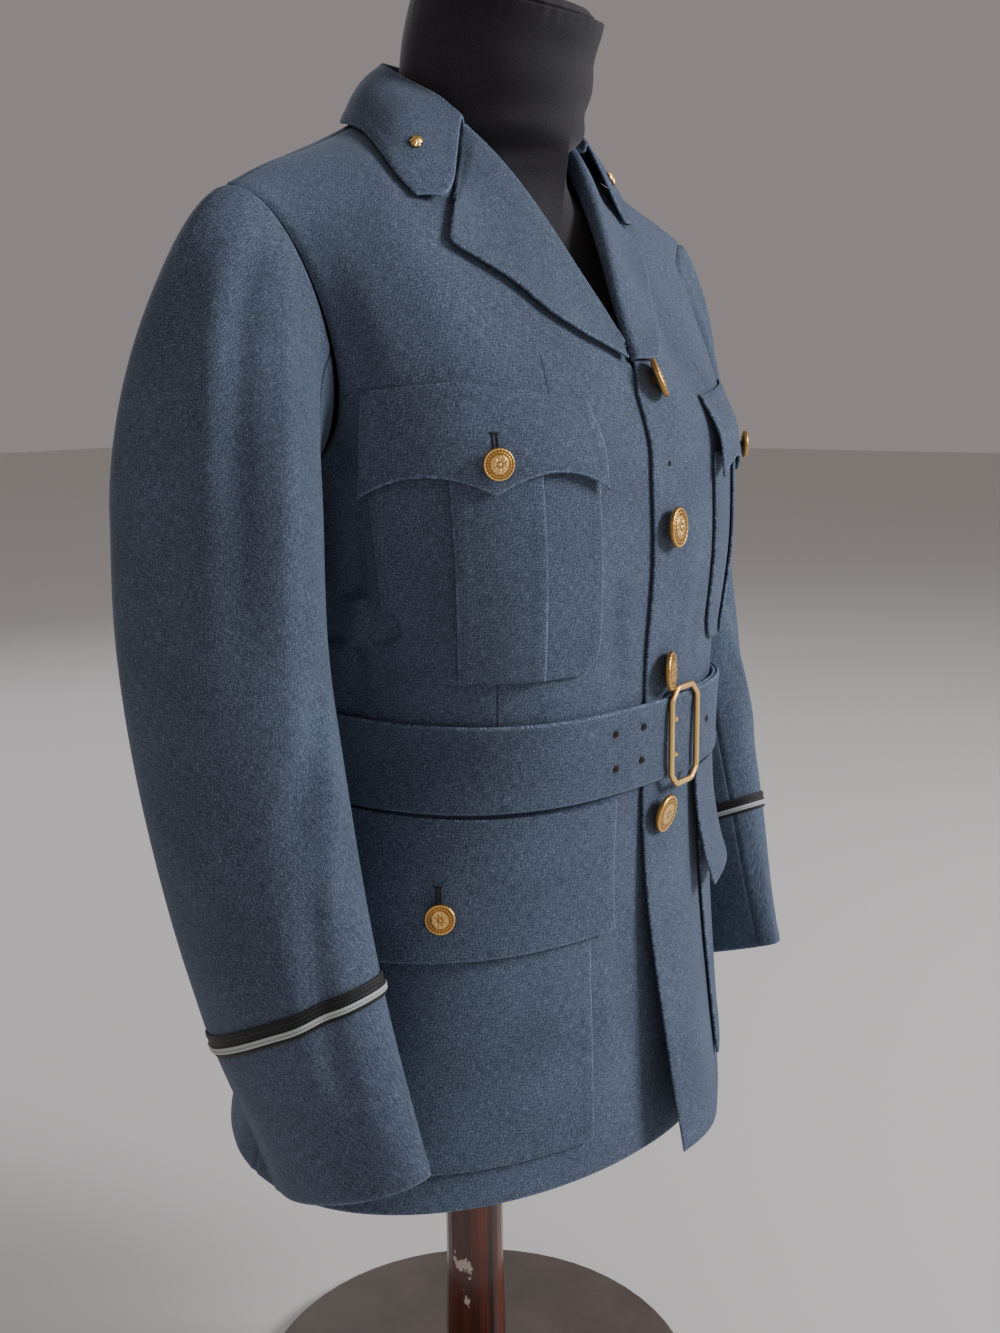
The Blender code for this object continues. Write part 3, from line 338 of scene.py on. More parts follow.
def folds(table, u, v):
    """Height of soft troughs and ridges at places on the cloth. Each row is a fold: where it
    starts (u, v), where it ends (u, v), how far it bows sideways, its width and its height."""
    total = np.zeros(np.broadcast(u, v).shape)
    for u0, v0, u1, v1, bow, width, height in table:
        du, dv = u1 - u0, v1 - v0
        size = math.hypot(du, dv)
        along = ((u - u0) * du + (v - v0) * dv) / size**2
        across = ((u - u0) * dv - (v - v0) * du) / size - bow * 4 * along * (1 - along)
        fade = ease((along + 0.12) / 0.35) * ease((1.12 - along) / 0.45)
        total += height * fade * np.exp(-(across / width) ** 2)
    return total


# Folds of a front: round the body and up it (mm), to the same, bow, width, height
FRONT_FOLDS = {
    "right": [(214, 575, 232, 800, 6, 15, -3.2), (190, 690, 205, 850, -4, 13, 1.8),
              (236, 560, 228, 700, 3, 12, 2.4), (28, 556, 40, 640, 4, 9, 1.2),
              (44, 558, 62, 660, -3, 10, -1.3), (216, 556, 222, 630, 2, 8, -1.6),
              (232, 420, 250, 262, 4, 16, 2.4), (40, 470, 34, 262, 2, 14, -1.8),
              (60, 890, 150, 800, 8, 16, -1.3), (150, 905, 190, 800, 5, 16, 1.1)],
    "left": [(208, 590, 230, 795, 5, 14, -2.8), (188, 700, 200, 860, -4, 14, 1.7),
             (236, 556, 226, 690, 3, 12, 2.2), (36, 560, 52, 650, 3, 10, -1.2),
             (22, 556, 26, 640, 2, 9, 1.0), (240, 430, 252, 262, 3, 17, 2.2),
             (96, 470, 70, 262, 3, 18, -1.2), (66, 885, 148, 805, 6, 15, -1.1)],
}
WAIST_NIPS = np.array([(12, 7), (58, 9), (96, 8), (186, 8), (205, 10), (229, 8), (246, 9)], float)


def front_drape(side, l, h):
    """How far the folds move a front's face, leaving the sewn-down pockets flat."""
    pocket = ease((l - 60) / 12) * ease((222 - l) / 12)
    flat = pocket * ease((h - 566) / 14) * ease((756 - h) / 14)
    hips = ease((l - 46) / 12) * ease((300 - l) / 12) * ease((500 - h) / 6)
    total = folds(FRONT_FOLDS[side], l, h) * (1 - 0.85 * flat) * (1 - 0.5 * hips)
    over = np.exp(-np.maximum(h - 550, 0) / 22.0) * (h > 500)
    for place, width in WAIST_NIPS:
        total = total + 1.1 * over * (1 - flat) * np.exp(-((l - place) / width) ** 2) * ease((h - 540) / 14)
    return total * (1 - 0.8 * ease((40 - l) / 40) * (side == "left"))


def on_front(side, l, h, out=0.0):
    """Points over a front's outer face, folds and all."""
    l, h = np.broadcast_arrays(np.asarray(l, float), np.asarray(h, float))
    p = front_form(side, l, h)
    n = slopes_normal(lambda u, v: front_form(side, u, v), l, h, np.array([0, 20.0, 60.0]))
    return p + n * (front_drape(side, l, h) + out)[..., None]


def spread(count, crowd=0.55):
    """Shares from 0 to 1, closer together at both ends."""
    t = np.linspace(0, 1, count)
    return t - crowd * np.sin(2 * np.pi * t) / (2 * np.pi)


def grid_normals(points, like, wrap=False):
    """Normals of a grid of points, on the side where `like` points."""
    if wrap:
        across = np.roll(points, -1, 1) - np.roll(points, 1, 1)
    else:
        across = np.gradient(points, axis=1)
    n = unit(np.cross(across, np.gradient(points, axis=0)) + 1e-12)
    sign = np.sign((n * like).sum(-1).mean())
    return n * (sign if sign else 1)


def run_of(points, axis):
    """Length along the cloth up to each point of a grid."""
    steps = np.linalg.norm(np.diff(points, axis=axis), axis=-1)
    zero = np.zeros_like(np.take(steps, [0], axis))
    return np.concatenate([zero, np.cumsum(steps, axis=axis)], axis=axis)


def mark(piece, name, values):
    """Give each point of a piece a number, or a place on the cut cloth, for its material."""
    if np.ndim(values) == 1:
        layer = piece.data.attributes.new(name, "FLOAT", "POINT")
        layer.data.foreach_set("value", values.astype(np.float32))
    else:
        layer = piece.data.attributes.new(name, "FLOAT_VECTOR", "POINT")
        flat = np.c_[values, np.zeros(len(values))]
        layer.data.foreach_set("vector", flat.astype(np.float32).ravel())


def wear(piece, solid, slot="cloth", **sheet):
    """Put a piece on the body in place of its solid; sheet, which would say what it is cut from, is not
    used.
    """
    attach(piece, "root")
    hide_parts(solid)


def cloth(name, points, like, material, edges="", seams="", wrap=False, thick=WALL, grain=None):
    """A cloth piece from a grid of outer points: turned edges, sunk seams, and an inner face.
    edges and seams name its sides: l and r are the first and last column, b and t the rows."""
    rows, cols = points.shape[:2]
    across, along = run_of(points, 1), run_of(points, 0)
    far = {"l": across, "r": across[:, -1:] - across, "b": along, "t": along[-1:] - along}
    normals = grid_normals(points, like, wrap)
    edge = np.full((rows, cols), 60.0)
    for k in edges:
        edge = np.minimum(edge, far[k])
    raised = 0.35 * ease((9.0 - edge) / 2.5) - 0.25 * np.exp(-(edge / 1.2) ** 2)
    for k in seams:
        raised = raised - 1.0 * np.exp(-(far[k] / 1.8) ** 2) + 0.25 * np.exp(-((far[k] - 5) / 3.0) ** 2)
    outer = points + normals * raised[..., None]
    inner = points - normals * thick
    cut = np.stack([across, along], -1) if grain is None else grain
    at = np.arange(rows * cols).reshape(rows, cols)
    verts = [outer.reshape(-1, 3), inner.reshape(-1, 3)]
    cuts, edge_mm = [cut.reshape(-1, 2)] * 2, [edge.ravel()] * 2
    faces = []
    next_col = np.roll(at, -1, 1) if wrap else at[:, 1:]
    this_col = at if wrap else at[:, :-1]
    quads = np.stack([this_col[:-1], next_col[:-1], next_col[1:], this_col[1:]], -1).reshape(-1, 4)
    faces += quads.tolist() + (quads[:, ::-1] + rows * cols).tolist()
    loops = []
    if wrap:
        loops = [(at[0], at[1]), (at[-1][::-1], at[-2][::-1])]
    else:
        border = np.r_[at[0, :-1], at[:-1, -1], at[-1, :0:-1], at[:0:-1, 0]]
        inside = np.r_[at[1, :-1], at[:-1, -2], at[-2, :0:-1], at[:0:-1, 1]]
        inside[0], inside[cols - 1] = at[1, 1], at[1, -2]
        inside[cols + rows - 2], inside[2 * cols + rows - 3] = at[-2, -2], at[-2, 1]
        loops = [(border, inside)]
    flat_outer, flat_inner = verts[0], verts[1]
    base = 2 * rows * cols
    for border, inside in loops:
        push = unit(flat_outer[border] - flat_outer[inside]) * 0.5 * thick
        rim = (flat_outer[border] + flat_inner[border]) / 2 + push * 0.75
        verts.append(rim)
        cuts.append(cut.reshape(-1, 2)[border])
        edge_mm.append(edge.ravel()[border])
        k = np.arange(len(border))
        n = (k + 1) % len(border)
        faces += np.stack([border[n], border[k], base + k, base + n], -1).tolist()
        faces += np.stack([base + n, base + k, border[k] + rows * cols,
                           border[n] + rows * cols], -1).tolist()
        base += len(border)
    made = mesh_object(name, np.concatenate(verts), faces, material)
    mark(made, "cut", np.concatenate(cuts))
    mark(made, "edge_mm", np.concatenate(edge_mm))
    return made


def barathea(name, tone=0.0, lines=()):
    """Wool barathea: piece-dyed from light and dark fibres, finely ribbed on the slant, and
    milled so that short fibres blur the weave. It gives the eye a heathered blue-grey with a
    soft bloom. lines are seams of darts: (u, v, u, v) on the cut cloth."""
    made, tree, shader = new_material(name, 0.92, Sheen_Weight=0.22, Sheen_Roughness=0.45,
                                      Sheen_Tint=colour("#b8c6d8"), Specular_IOR_Level=0.25)
    place = node(tree, "Attribute", {"attribute_name": "cut"}).outputs["Vector"]
    # Fibre clumps of about 0.6 by 0.8 mm, the finest that the render resolves
    clump = node(tree, "TexNoise", Vector=node(
        tree, "VectorMath", {"operation": "MULTIPLY"}, (place, (1.7, 1.25, 1.0))).outputs[0],
        Scale=1.0, Detail=2.0, Roughness=0.6)
    # Uneven yarns make faint streaks 5 to 6 mm long, down and across
    down = node(tree, "TexNoise", Vector=node(
        tree, "VectorMath", {"operation": "MULTIPLY"}, (place, (1.5, 0.16, 1.0))).outputs[0],
        Scale=1.0)
    cross = node(tree, "TexNoise", Vector=node(
        tree, "VectorMath", {"operation": "MULTIPLY"}, (place, (0.2, 1.5, 1.0))).outputs[0],
        Scale=1.0)
    yarn = node(tree, "Math", {"operation": "ADD"}, (down.outputs["Fac"], cross.outputs["Fac"]))
    yarn = node(tree, "Math", {"operation": "MULTIPLY_ADD"}, (yarn.outputs[0], 0.32, -0.32))
    fibre = node(tree, "Math", {"operation": "MULTIPLY_ADD"}, (clump.outputs["Fac"], 0.8, 0.1))
    fibre = node(tree, "Math", {"operation": "ADD"}, (fibre.outputs[0], yarn.outputs[0]))
    # Faint ribs 2.4 mm apart: the real twill is near 0.8 mm, too fine to show
    slant = node(tree, "VectorMath", {"operation": "DOT_PRODUCT"}, (place, (2.25, 1.35, 0.0)))
    rib = node(tree, "Math", {"operation": "SINE"}, (slant.outputs["Value"],))
    # Handling and pressing leave cloudy patches about 55 mm across
    cloud = node(tree, "TexNoise", Vector=place, Scale=0.018, Detail=2.0)
    ramp = node(tree, "ValToRGB", Fac=fibre.outputs[0], stops=(
        (0.30, "#28303e"), (0.44, "#3f4a5b"), (0.56, "#5a687d"), (0.72, "#8493aa")))
    shade = node(tree, "MapRange", Value=cloud.outputs["Fac"], From_Min=0.3, From_Max=0.7,
                 To_Min=0.86 + tone, To_Max=1.1 + tone)
    ribbed = node(tree, "MapRange", Value=rib.outputs[0], From_Min=-1.0, From_Max=1.0,
                  To_Min=0.95, To_Max=1.05)
    level = node(tree, "Math", {"operation": "MULTIPLY"}, (shade.outputs[0], ribbed.outputs[0]))
    edge = node(tree, "Attribute", {"attribute_name": "edge_mm"}).outputs["Fac"]
    # Within 1.5 mm of a turned edge the colour is up to half again lighter: partly wear, partly a painted
    # highlight where the rounded edge catches the light.
    worn_and_lit_edge = node(tree, "MapRange", {"interpolation_type": "SMOOTHSTEP"}, Value=edge,
                From_Min=0.1, From_Max=1.5, To_Min=1.5, To_Max=1.0)
    level = node(tree, "Math", {"operation": "MULTIPLY"}, (level.outputs[0], worn_and_lit_edge.outputs[0]))
    height = fibre.outputs[0]
    for u0, v0, u1, v1 in lines:
        size = math.hypot(u1 - u0, v1 - v0)
        away = node(tree, "VectorMath", {"operation": "SUBTRACT"}, (place, (u0, v0, 0))).outputs[0]
        off = node(tree, "VectorMath", {"operation": "DOT_PRODUCT"},
                   (away, ((v1 - v0) / size, (u0 - u1) / size, 0))).outputs["Value"]
        off = node(tree, "Math", {"operation": "ABSOLUTE"}, (off,)).outputs[0]
        near = node(tree, "MapRange", {"interpolation_type": "SMOOTHSTEP"}, Value=off,
                    From_Min=0.2, From_Max=1.3, To_Min=1.0, To_Max=0.0).outputs[0]
        inside = node(tree, "Math", {"operation": "COMPARE"}, (node(
            tree, "VectorMath", {"operation": "DOT_PRODUCT"},
            (away, ((u1 - u0) / size**2, (v1 - v0) / size**2, 0))).outputs["Value"],
            0.5, 0.5)).outputs[0]
        near = node(tree, "Math", {"operation": "MULTIPLY"}, (near, inside)).outputs[0]
        # Along each dart seam the colour is made up to 45 percent darker: painted shade in the seam's
        # groove.
        dark = node(tree, "MapRange", Value=near, To_Min=1.0, To_Max=0.55).outputs[0]
        level = node(tree, "Math", {"operation": "MULTIPLY"}, (level.outputs[0], dark))
        height = node(tree, "Math", {"operation": "MULTIPLY_ADD"},
                      (near, -1.5, height)).outputs[0]
    tinted = node(tree, "VectorMath", {"operation": "SCALE"}, (ramp.outputs["Color"],),
                  Scale=level.outputs[0])
    tree.links.new(tinted.outputs[0], shader.inputs["Base Color"])
    ribs = node(tree, "Math", {"operation": "MULTIPLY_ADD"}, (rib.outputs[0], 0.10, height))
    bump = node(tree, "Bump", Height=ribs.outputs[0], Strength=0.45, Distance=0.0005)
    tree.links.new(bump.outputs["Normal"], shader.inputs["Normal"])
    return made


def front_span(side, h):
    """Where a front starts and ends at each height."""
    edge = np.full(np.shape(h), -OVERLAP if side == "left" else -UNDERLAP)
    t = (h - CHEST_Z) / RISE
    roll = smooth_at(ROLL_LINE[side], t)[..., 0] * HALF_CHEST
    edge = np.where(t > ROLL_LINE[side][0, 0], np.maximum(edge, roll), edge)
    share = SIDE_SHARE + SIDE_DRIFT * ease((CHEST_Z - h) / 120.0)
    below = share * ring_length(np.minimum(h, CHEST_Z)) - SEAM_GAP
    arm = 1 - ARM_BOW["front"] * np.sin(np.pi * np.clip(t, 0, 1) ** 0.55)
    return edge, np.where(h <= CHEST_Z, below, arm * HALF_CHEST - SEAM_GAP)


# The cloth ends just short of the shoulder line, where front and back meet
TOP_SHARE = 0.998
front_rows = np.r_[HEM_Z + (CHEST_Z - HEM_Z) * spread(150, 0.3)[:-1],
                   CHEST_Z + RISE * TOP_SHARE * spread(74, 0.3)]
# Two darts shape each front: one above the chest pocket, one from it to the belt
DARTS = [(97, 746, 95, 770), (128, 500, 131, 578)]
front_cloth = {}
for side in ("left", "right"):
    first, last = front_span(side, front_rows)
    l = first[:, None] + (last - first)[:, None] * spread(90, 0.5)[None, :]
    h = np.broadcast_to(front_rows[:, None], l.shape)
    front_cloth[side] = barathea("wool_barathea_front_" + side, 0.0, DARTS)
    panel = cloth("front_cloth_" + side, on_front(side, l, h), (0, -1, 0.1), front_cloth[side],
                  edges="lb", seams="rt", grain=np.stack([l, h], -1))
    wear(panel, "front_" + side, flat=(0.31, 0.71), area=0.178, held="draped", rests_on=["dress_form"])


# Backs.
# Two backs with a centre seam, drawn in by the belt, so that the cloth breaks into short soft
# pleats above and below it and swings out to a full skirt.
# The folds die out under the belt; BACK_DEPTH deepens all of them
BELT_MIDDLE, BACK_DEPTH = 523.0, 1.35
BACK_FOLDS = {
    "left": [(30, 560, 46, 700, 5, 11, 2.6), (62, 556, 80, 720, -5, 12, -2.8),
             (104, 558, 116, 690, 4, 11, 2.4), (140, 556, 150, 670, -3, 10, -2.2),
             (20, 490, 14, 300, 3, 14, -2.2), (58, 490, 74, 262, 6, 19, 3.6),
             (110, 488, 138, 262, 5, 20, -3.4), (160, 486, 190, 262, 4, 18, 3.0),
             (150, 780, 196, 890, 10, 20, -2.0), (196, 700, 220, 860, 8, 15, 2.6)],
    "right": [(22, 560, 30, 690, 4, 10, -2.2), (52, 556, 66, 710, -5, 12, 2.6),
              (92, 558, 106, 700, 4, 12, -2.6), (134, 556, 142, 680, -3, 11, 2.2),
              (30, 490, 24, 290, 3, 15, 2.4), (74, 490, 92, 262, 6, 20, -3.4),
              (124, 488, 152, 262, 5, 19, 3.3), (172, 486, 200, 262, 4, 17, -2.4),
              (146, 790, 190, 885, 10, 19, -1.9), (194, 700, 216, 850, 8, 14, 2.4)],
}


def back_form(side, b, h):
    """Smooth outer face of a back, b mm round from the centre seam, before its folds."""
    b, h = np.broadcast_arrays(np.asarray(b, float), np.asarray(h, float))
    z = np.minimum(h, CHEST_Z)
    low = ring_at(ring_length(z) - b, z)
    high = chest_rise(np.maximum(b, 1e-6) / HALF_CHEST, np.maximum(h - CHEST_Z, 0) / RISE, False)
    return mirror(np.where((h <= CHEST_Z)[..., None], low, high), side)


def on_back(side, b, h, out=0.0):
    """Points over a back's outer face, folds and all, level across the centre seam."""
    b, h = np.broadcast_arrays(np.asarray(b, float), np.asarray(h, float))
    u = np.maximum(b, 0.6)
    n = slopes_normal(lambda p, q: back_form(side, p, q), u, h, np.array([0, 20.0, 60.0]))
    centre = ease(b / 12.0)[..., None]
    n = unit(n * (centre * np.array([1, 0, 0]) + np.array([0, 1, 1])))
    under_belt = 1 - np.exp(-((h - BELT_MIDDLE) / 32) ** 4)
    drape = BACK_DEPTH * folds(BACK_FOLDS[side], b, h) * under_belt
    return back_form(side, b, h) + n * (drape + out)[..., None]


def neck_hole_top(share):
    """How far up the rise the cloth goes: to the shoulder line, but less in the neck hole."""
    return np.where(share >= NECK_SHARE, 1.0, NECK_LOW + (1 - NECK_LOW) * (share / NECK_SHARE) ** 2)


back_rise = np.r_[(HEM_Z - CHEST_Z) * (1 - spread(140, 0.3)[:-1]),
                  RISE * TOP_SHARE * spread(74, 0.3)]
for side in ("left", "right"):
    share = spread(84, 0.5)[None, :]
    rise = back_rise[:, None]
    t = np.maximum(rise, 0) / RISE
    out = SIDE_SHARE + SIDE_DRIFT * ease(-rise / 120.0)
    below = (1 - out) * ring_length(np.minimum(CHEST_Z + rise, CHEST_Z)) - SEAM_GAP
    arm = 1 - ARM_BOW["back"] * np.sin(np.pi * np.clip(t, 0, 1) ** 0.55)
    last = np.where(rise <= 0, below, arm * HALF_CHEST - SEAM_GAP)
    b = SEAM_GAP + (last - SEAM_GAP) * share
    h = CHEST_Z + np.where(rise <= 0, rise, rise * neck_hole_top(b / HALF_CHEST))
    wool = barathea("wool_barathea_back_" + side)
    panel = cloth("back_cloth_" + side, on_back(side, b, h), (0, 1, 0.1), wool, edges="b", seams="lrt",
                  grain=np.stack([b + 600, h], -1))
    wear(panel, "back_" + side, flat=(0.27, 0.70), area=0.152, held="draped", rests_on=["dress_form"])


# Sleeves.
# Two-part sleeves set with a little fullness in the head. They hang curved to the front and
# were laid flat and pressed, so the back of each cuff keeps a hard edge.
SLEEVE_RINGS = np.array([
    (700, 226, -4, 48, 44, 68), (600, 229, -7, 50, 46, 68), (500, 230, -25, 48, 42, 67),
    (400, 225, -50, 43, 31, 63), (320, 215, -75, 34.5, 18, 57), (298, 213, -82, 33, 15, 56)], float)
SLEEVE_TABLE = (SLEEVE_RINGS * np.array([-1, 1, 1, 1, 1, 1]))
CAP_JOIN, CUFF_Z = 670.0, 298.0
# Turns of the two seams, and the gap left at each side of them, in degrees
FOREARM_SEAM, HINDARM_SEAM, SEAM_TURN = 128.0, -72.0, 0.2
# About how many mm a degree round the arm and a part of its length are, how much deeper its
# folds are drawn, and how far the pressed edge at the back of the cuff stands out
MM_A_DEGREE, MM_A_PART, SLEEVE_DEPTH, PRESSED_EDGE = 0.95, 290.0, 1.3, 5.0
# Degrees round the arm from the outside by the front, and place from cap (0) to cuff (2)
SLEEVE_FOLDS = {
    "right": [(78, 0.14, 70, 1.36, 3, 8, 2.0), (56, 0.10, 50, 1.20, -3, 9, -2.6),
              (33, 0.30, 26, 1.45, 2, 9, 1.8), (6, 0.35, 4, 1.30, 3, 11, -1.8),
              (-26, 0.45, -22, 1.55, -3, 13, 1.4), (100, 1.22, 52, 1.50, 2, 9, -2.2),
              (98, 1.34, 62, 1.62, 2, 8, 1.6), (66, 1.52, 44, 1.92, -3, 8, -2.0),
              (40, 1.50, 22, 1.90, 3, 9, 1.5), (150, 0.75, 130, 1.30, 3, 11, -2.4),
              (210, 0.7, 236, 1.25, 3, 12, 2.2), (262, 0.6, 250, 1.4, 3, 12, -2.0)],
    "left": [(80, 0.16, 72, 1.30, 3, 8, 1.9), (60, 0.12, 52, 1.25, -3, 9, -2.3),
             (36, 0.32, 30, 1.40, 2, 9, 1.6), (10, 0.30, 2, 1.35, 3, 12, -1.7),
             (-28, 0.40, -20, 1.50, -3, 12, 1.5), (102, 1.20, 58, 1.46, 2, 9, -2.0),
             (96, 1.36, 60, 1.60, 2, 8, 1.5), (62, 1.55, 40, 1.92, -3, 8, -1.7),
             (152, 0.8, 134, 1.35, 3, 11, -2.2), (214, 0.7, 232, 1.30, 3, 12, 2.1),
             (258, 0.65, 252, 1.45, 3, 12, -1.9)],
}


def tube_at(turn, z):
    """Points round the arm below the cap, square to its own bent line."""
    values = smooth_at(SLEEVE_TABLE, -z)
    centre = np.stack([values[..., 0], values[..., 1], z], -1)
    above, below = smooth_at(SLEEVE_TABLE, -(z + 4)), smooth_at(SLEEVE_TABLE, -(z - 4))
    down = unit(np.stack([below[..., 0] - above[..., 0], below[..., 1] - above[..., 1], 0 * z - 8.0], -1))
    out = np.array([1.0, 0, 0]) - down * down[..., :1]
    out = unit(out)
    fore = np.cross(down, out)
    fore = fore * -np.sign(fore[..., 1:2])
    reach = np.where(np.cos(turn) > 0, values[..., 2], values[..., 3]) * np.cos(turn)
    return centre + out * reach[..., None] + fore * (values[..., 4] * np.sin(turn))[..., None]


def armhole_at(turn):
    """Points round the armhole, from the shoulder down the front and up the back."""
    half = turn / np.pi
    t = np.where(half <= 1, 1 - half, half - 1)
    bow = np.sin(np.pi * np.clip(t, 0, 1) ** 0.55)
    ahead = chest_rise(1 - ARM_BOW["front"] * bow, t, True)
    behind = chest_rise(1 - ARM_BOW["back"] * bow, t, False)
    return np.where((half <= 1)[..., None], ahead, behind)


def sleeve_form(turn, s):
    """Left sleeve before its folds: s 0 to 1 is the cap, 1 to 2 the tube down to the cuff."""
    turn, s = np.broadcast_arrays(np.asarray(turn, float) % (2 * np.pi), np.asarray(s, float))
    c, sn = np.cos(turn), np.sin(turn)
    top, low, side = np.maximum(c, 0), np.maximum(-c, 0), np.abs(sn)
    leave = (np.stack([1 + 0 * sn, -0.35 * sn, -0.30 + 0 * sn], -1)
             * (128 * top**1.5 + 75 * side**2)[..., None]
             + np.array([0.6, 0, -1.0]) * (30 * low)[..., None])
    arrive = np.array([0, 0, -1.0]) * (190 * top + 120 * side**2 + 30 * low)[..., None]
    start = armhole_at(turn) + unit(leave) * 0.5
    end = tube_at(turn, np.full(turn.shape, CAP_JOIN))
    k = np.clip(s, 0, 1)[..., None]
    a = 2 * k**3 - 3 * k**2 + 1
    cap = a * start + (k**3 - 2 * k**2 + k) * leave + (1 - a) * end + (k**3 - k**2) * arrive
    tube = tube_at(turn, CAP_JOIN + (CUFF_Z - CAP_JOIN) * (np.maximum(s, 1) - 1))
    return np.where((s >= 1)[..., None], tube, cap)


def on_sleeve(side, turn, s, out=0.0):
    """Points over a sleeve; turn in degrees."""
    turn, s = np.broadcast_arrays(np.asarray(turn, float), np.asarray(s, float))
    a = np.radians(turn)
    p = sleeve_form(a, s)
    n = unit(np.cross(sleeve_form(a + 0.01, s) - sleeve_form(a - 0.01, s),
                      sleeve_form(a, s + 0.01) - sleeve_form(a, np.maximum(s - 0.01, 0))))
    outward = np.stack([np.cos(a), -np.sin(a), np.where(p[..., 2] > 760, 0.6, 0)], -1)
    n = np.where(((n * outward).sum(-1) < 0)[..., None], -n, n)
    return mirror(p + n * (sleeve_drape(side, turn, s) + out)[..., None], side)


def sleeve_drape(side, turn, s):
    """Folds of a sleeve. Degrees and places are first made about equal in millimetres."""
    table = [(u0 * MM_A_DEGREE, v0 * MM_A_PART, u1 * MM_A_DEGREE, v1 * MM_A_PART, bow, width, height)
             for u0, v0, u1, v1, bow, width, height in SLEEVE_FOLDS[side]]
    total = SLEEVE_DEPTH * folds(table, turn * MM_A_DEGREE, s * MM_A_PART)
    seam = (turn - HINDARM_SEAM + 180) % 360 - 180
    total = total + PRESSED_EDGE * np.exp(-(seam / 15.0) ** 2) * ease((s - 1.45) / 0.4)
    gather = 0.35 * np.sin(turn * 0.42) * np.exp(-s / 0.10) * (np.cos(np.radians(turn)) > 0.1)
    return total * ease(s / 0.12) + gather * ease(s / 0.03)


sleeve_rows = np.r_[spread(76, 0.35)[:-1], 1 + np.linspace(0, 1, 116)]
for side in ("left", "right"):
    for part, start, end, count in (("top", HINDARM_SEAM, FOREARM_SEAM, 78),
                                    ("under", FOREARM_SEAM, 360 + HINDARM_SEAM, 64)):
        turn = start + SEAM_TURN + (end - start - 2 * SEAM_TURN) * spread(count, 0.5)[None, :]
        s = sleeve_rows[:, None] + 0 * turn
        turn = turn + 0 * s
        wool = barathea("wool_barathea_sleeve_%s_%s" % (part, side))
        points = on_sleeve(side, turn, s)
        halfway = math.radians((start + end) / 2)
        outward = mirror(np.array([math.cos(halfway), -math.sin(halfway), 0]), side)
        sleeve = cloth("sleeve_%s_cloth_%s" % (part, side), points, outward, wool,
                       edges="tl" if part == "top" else "t", seams="rb")
        flat, area = ((0.23, 0.62), 0.108) if part == "top" else ((0.19, 0.58), 0.079)
        wear(sleeve, "sleeve_%s_%s" % (part, side), flat=flat, area=area, held="hung",
             rests_on=["front_cloth_" + side])


# Lapels and collar.
# The fronts turn back along a soft roll into lapels; the collar is cut in one, its stand
# hidden by the fall. Edges are sewn, turned and pressed, and lift a little from the chest.
LAPEL_EDGE = {
    "left": np.array([
        (0.00, 0.05, 0.272), (0.15, 0.09, 0.296), (0.30, 0.145, 0.332), (0.45, 0.20, 0.372),
        (0.60, 0.255, 0.42), (0.72, 0.31, 0.468), (0.80, 0.345, 0.503), (0.90, 0.35, 0.545),
        (1.00, 0.335, 0.59),
    ], float),
    "right": np.array([
        (0.00, 0.065, 0.272), (0.15, 0.125, 0.294), (0.30, 0.20, 0.322), (0.45, 0.29, 0.368),
        (0.60, 0.375, 0.425), (0.72, 0.455, 0.475), (0.80, 0.505, 0.507), (0.90, 0.48, 0.555),
        (1.00, 0.435, 0.605),
    ], float),
}
LAPEL_START = {"left": 0.272, "right": 0.305}
LAPEL_TOP = 0.765
# How far each lapel goes on under the collar, as a share of its length
LAPEL_RUN_ON = {"left": 1.16, "right": 1.03}
NOTCH = (0.44, 0.60)
FOLD_LINE = np.array([
    (0.00, 65, -54, 897), (0.14, 69, -41, 909), (0.30, 70, -20, 920), (0.48, 65, 2, 931),
    (0.66, 50, 20, 938), (0.84, 27, 32, 942), (1.00, 0, 36, 943)], float)
COLLAR_EDGE = np.array([
    (0.00, 0.54, 0.63), (0.10, 0.556, 0.70), (0.22, 0.54, 0.80), (0.34, 0.51, 0.89),
    (0.46, 0.485, 0.975), (0.60, 0.43, 1.06), (0.80, 0.26, 1.13), (1.00, 0.0, 1.19)], float)
NECK_POINT, COLLAR_FROM = 0.48, 0.80
# How far each front corner of the collar is drawn in, and how high it stands off the chest
NARROW = {"left": 0.10, "right": 0.0}
EDGE_STAND = {"left": 1.2, "right": 3.0}
BACK_STAND = 3.0


def over_shoulder(side, m, t, out):
    """Points over the chest (t below 1) or the back (t above 1)."""
    m, t = np.broadcast_arrays(np.asarray(m, float), np.asarray(t, float))
    ahead = on_front(side, m * HALF_CHEST, CHEST_Z + np.minimum(t, 0.999) * RISE, out)
    behind = on_back(side, m * HALF_CHEST, CHEST_Z + np.clip(2 - t, 0, 1) * RISE, out)
    return np.where((t <= 1)[..., None], ahead, behind)


def through(points, shares, count):
    """A smooth line of `count` points through rows of points, at given shares of the way."""
    wide = np.linspace(0, 1, count)
    table = np.c_[shares, points]
    return smooth_at(table, wide)


def lapel_row(side, w):
    """One line of a lapel, from behind its roll out to its edge, at a share w of its length."""
    first = LAPEL_START[side]
    t = first + (LAPEL_TOP - first) * w
    m = float(smooth_at(ROLL_LINE[side], t)[0])
    base = over_shoulder(side, m, t, 0.0)
    lift = over_shoulder(side, m, t, 1.0) - base
    inward = unit(over_shoulder(side, m - 0.02, t, 0.0) - base)
    rise = 3.4 + 6.0 * float(ease(w))
    tuck = 1.6 * float(ease((w - 0.93) / 0.07)) + 3.0 * float(ease((w - 1.03) / 0.12))
    edge_m, edge_t = smooth_at(LAPEL_EDGE[side], w)
    points = [base + inward * 2.0 - lift * 0.6, base + inward * 3.0 + lift * rise * 0.45,
              base + inward * 1.3 + lift * rise]
    for r in (0.12, 0.32, 0.55, 0.78, 1.0):
        out = 3.0 + (rise - 3.0) * (1 - float(ease(r / 0.55))) + 1.3 * r**4 - tuck
        points.append(over_shoulder(side, m + (edge_m - m) * r, t + (edge_t - t) * r, out))
    return through(np.array(points), [0, 0.05, 0.1, 0.18, 0.38, 0.6, 0.81, 1.0], 40)


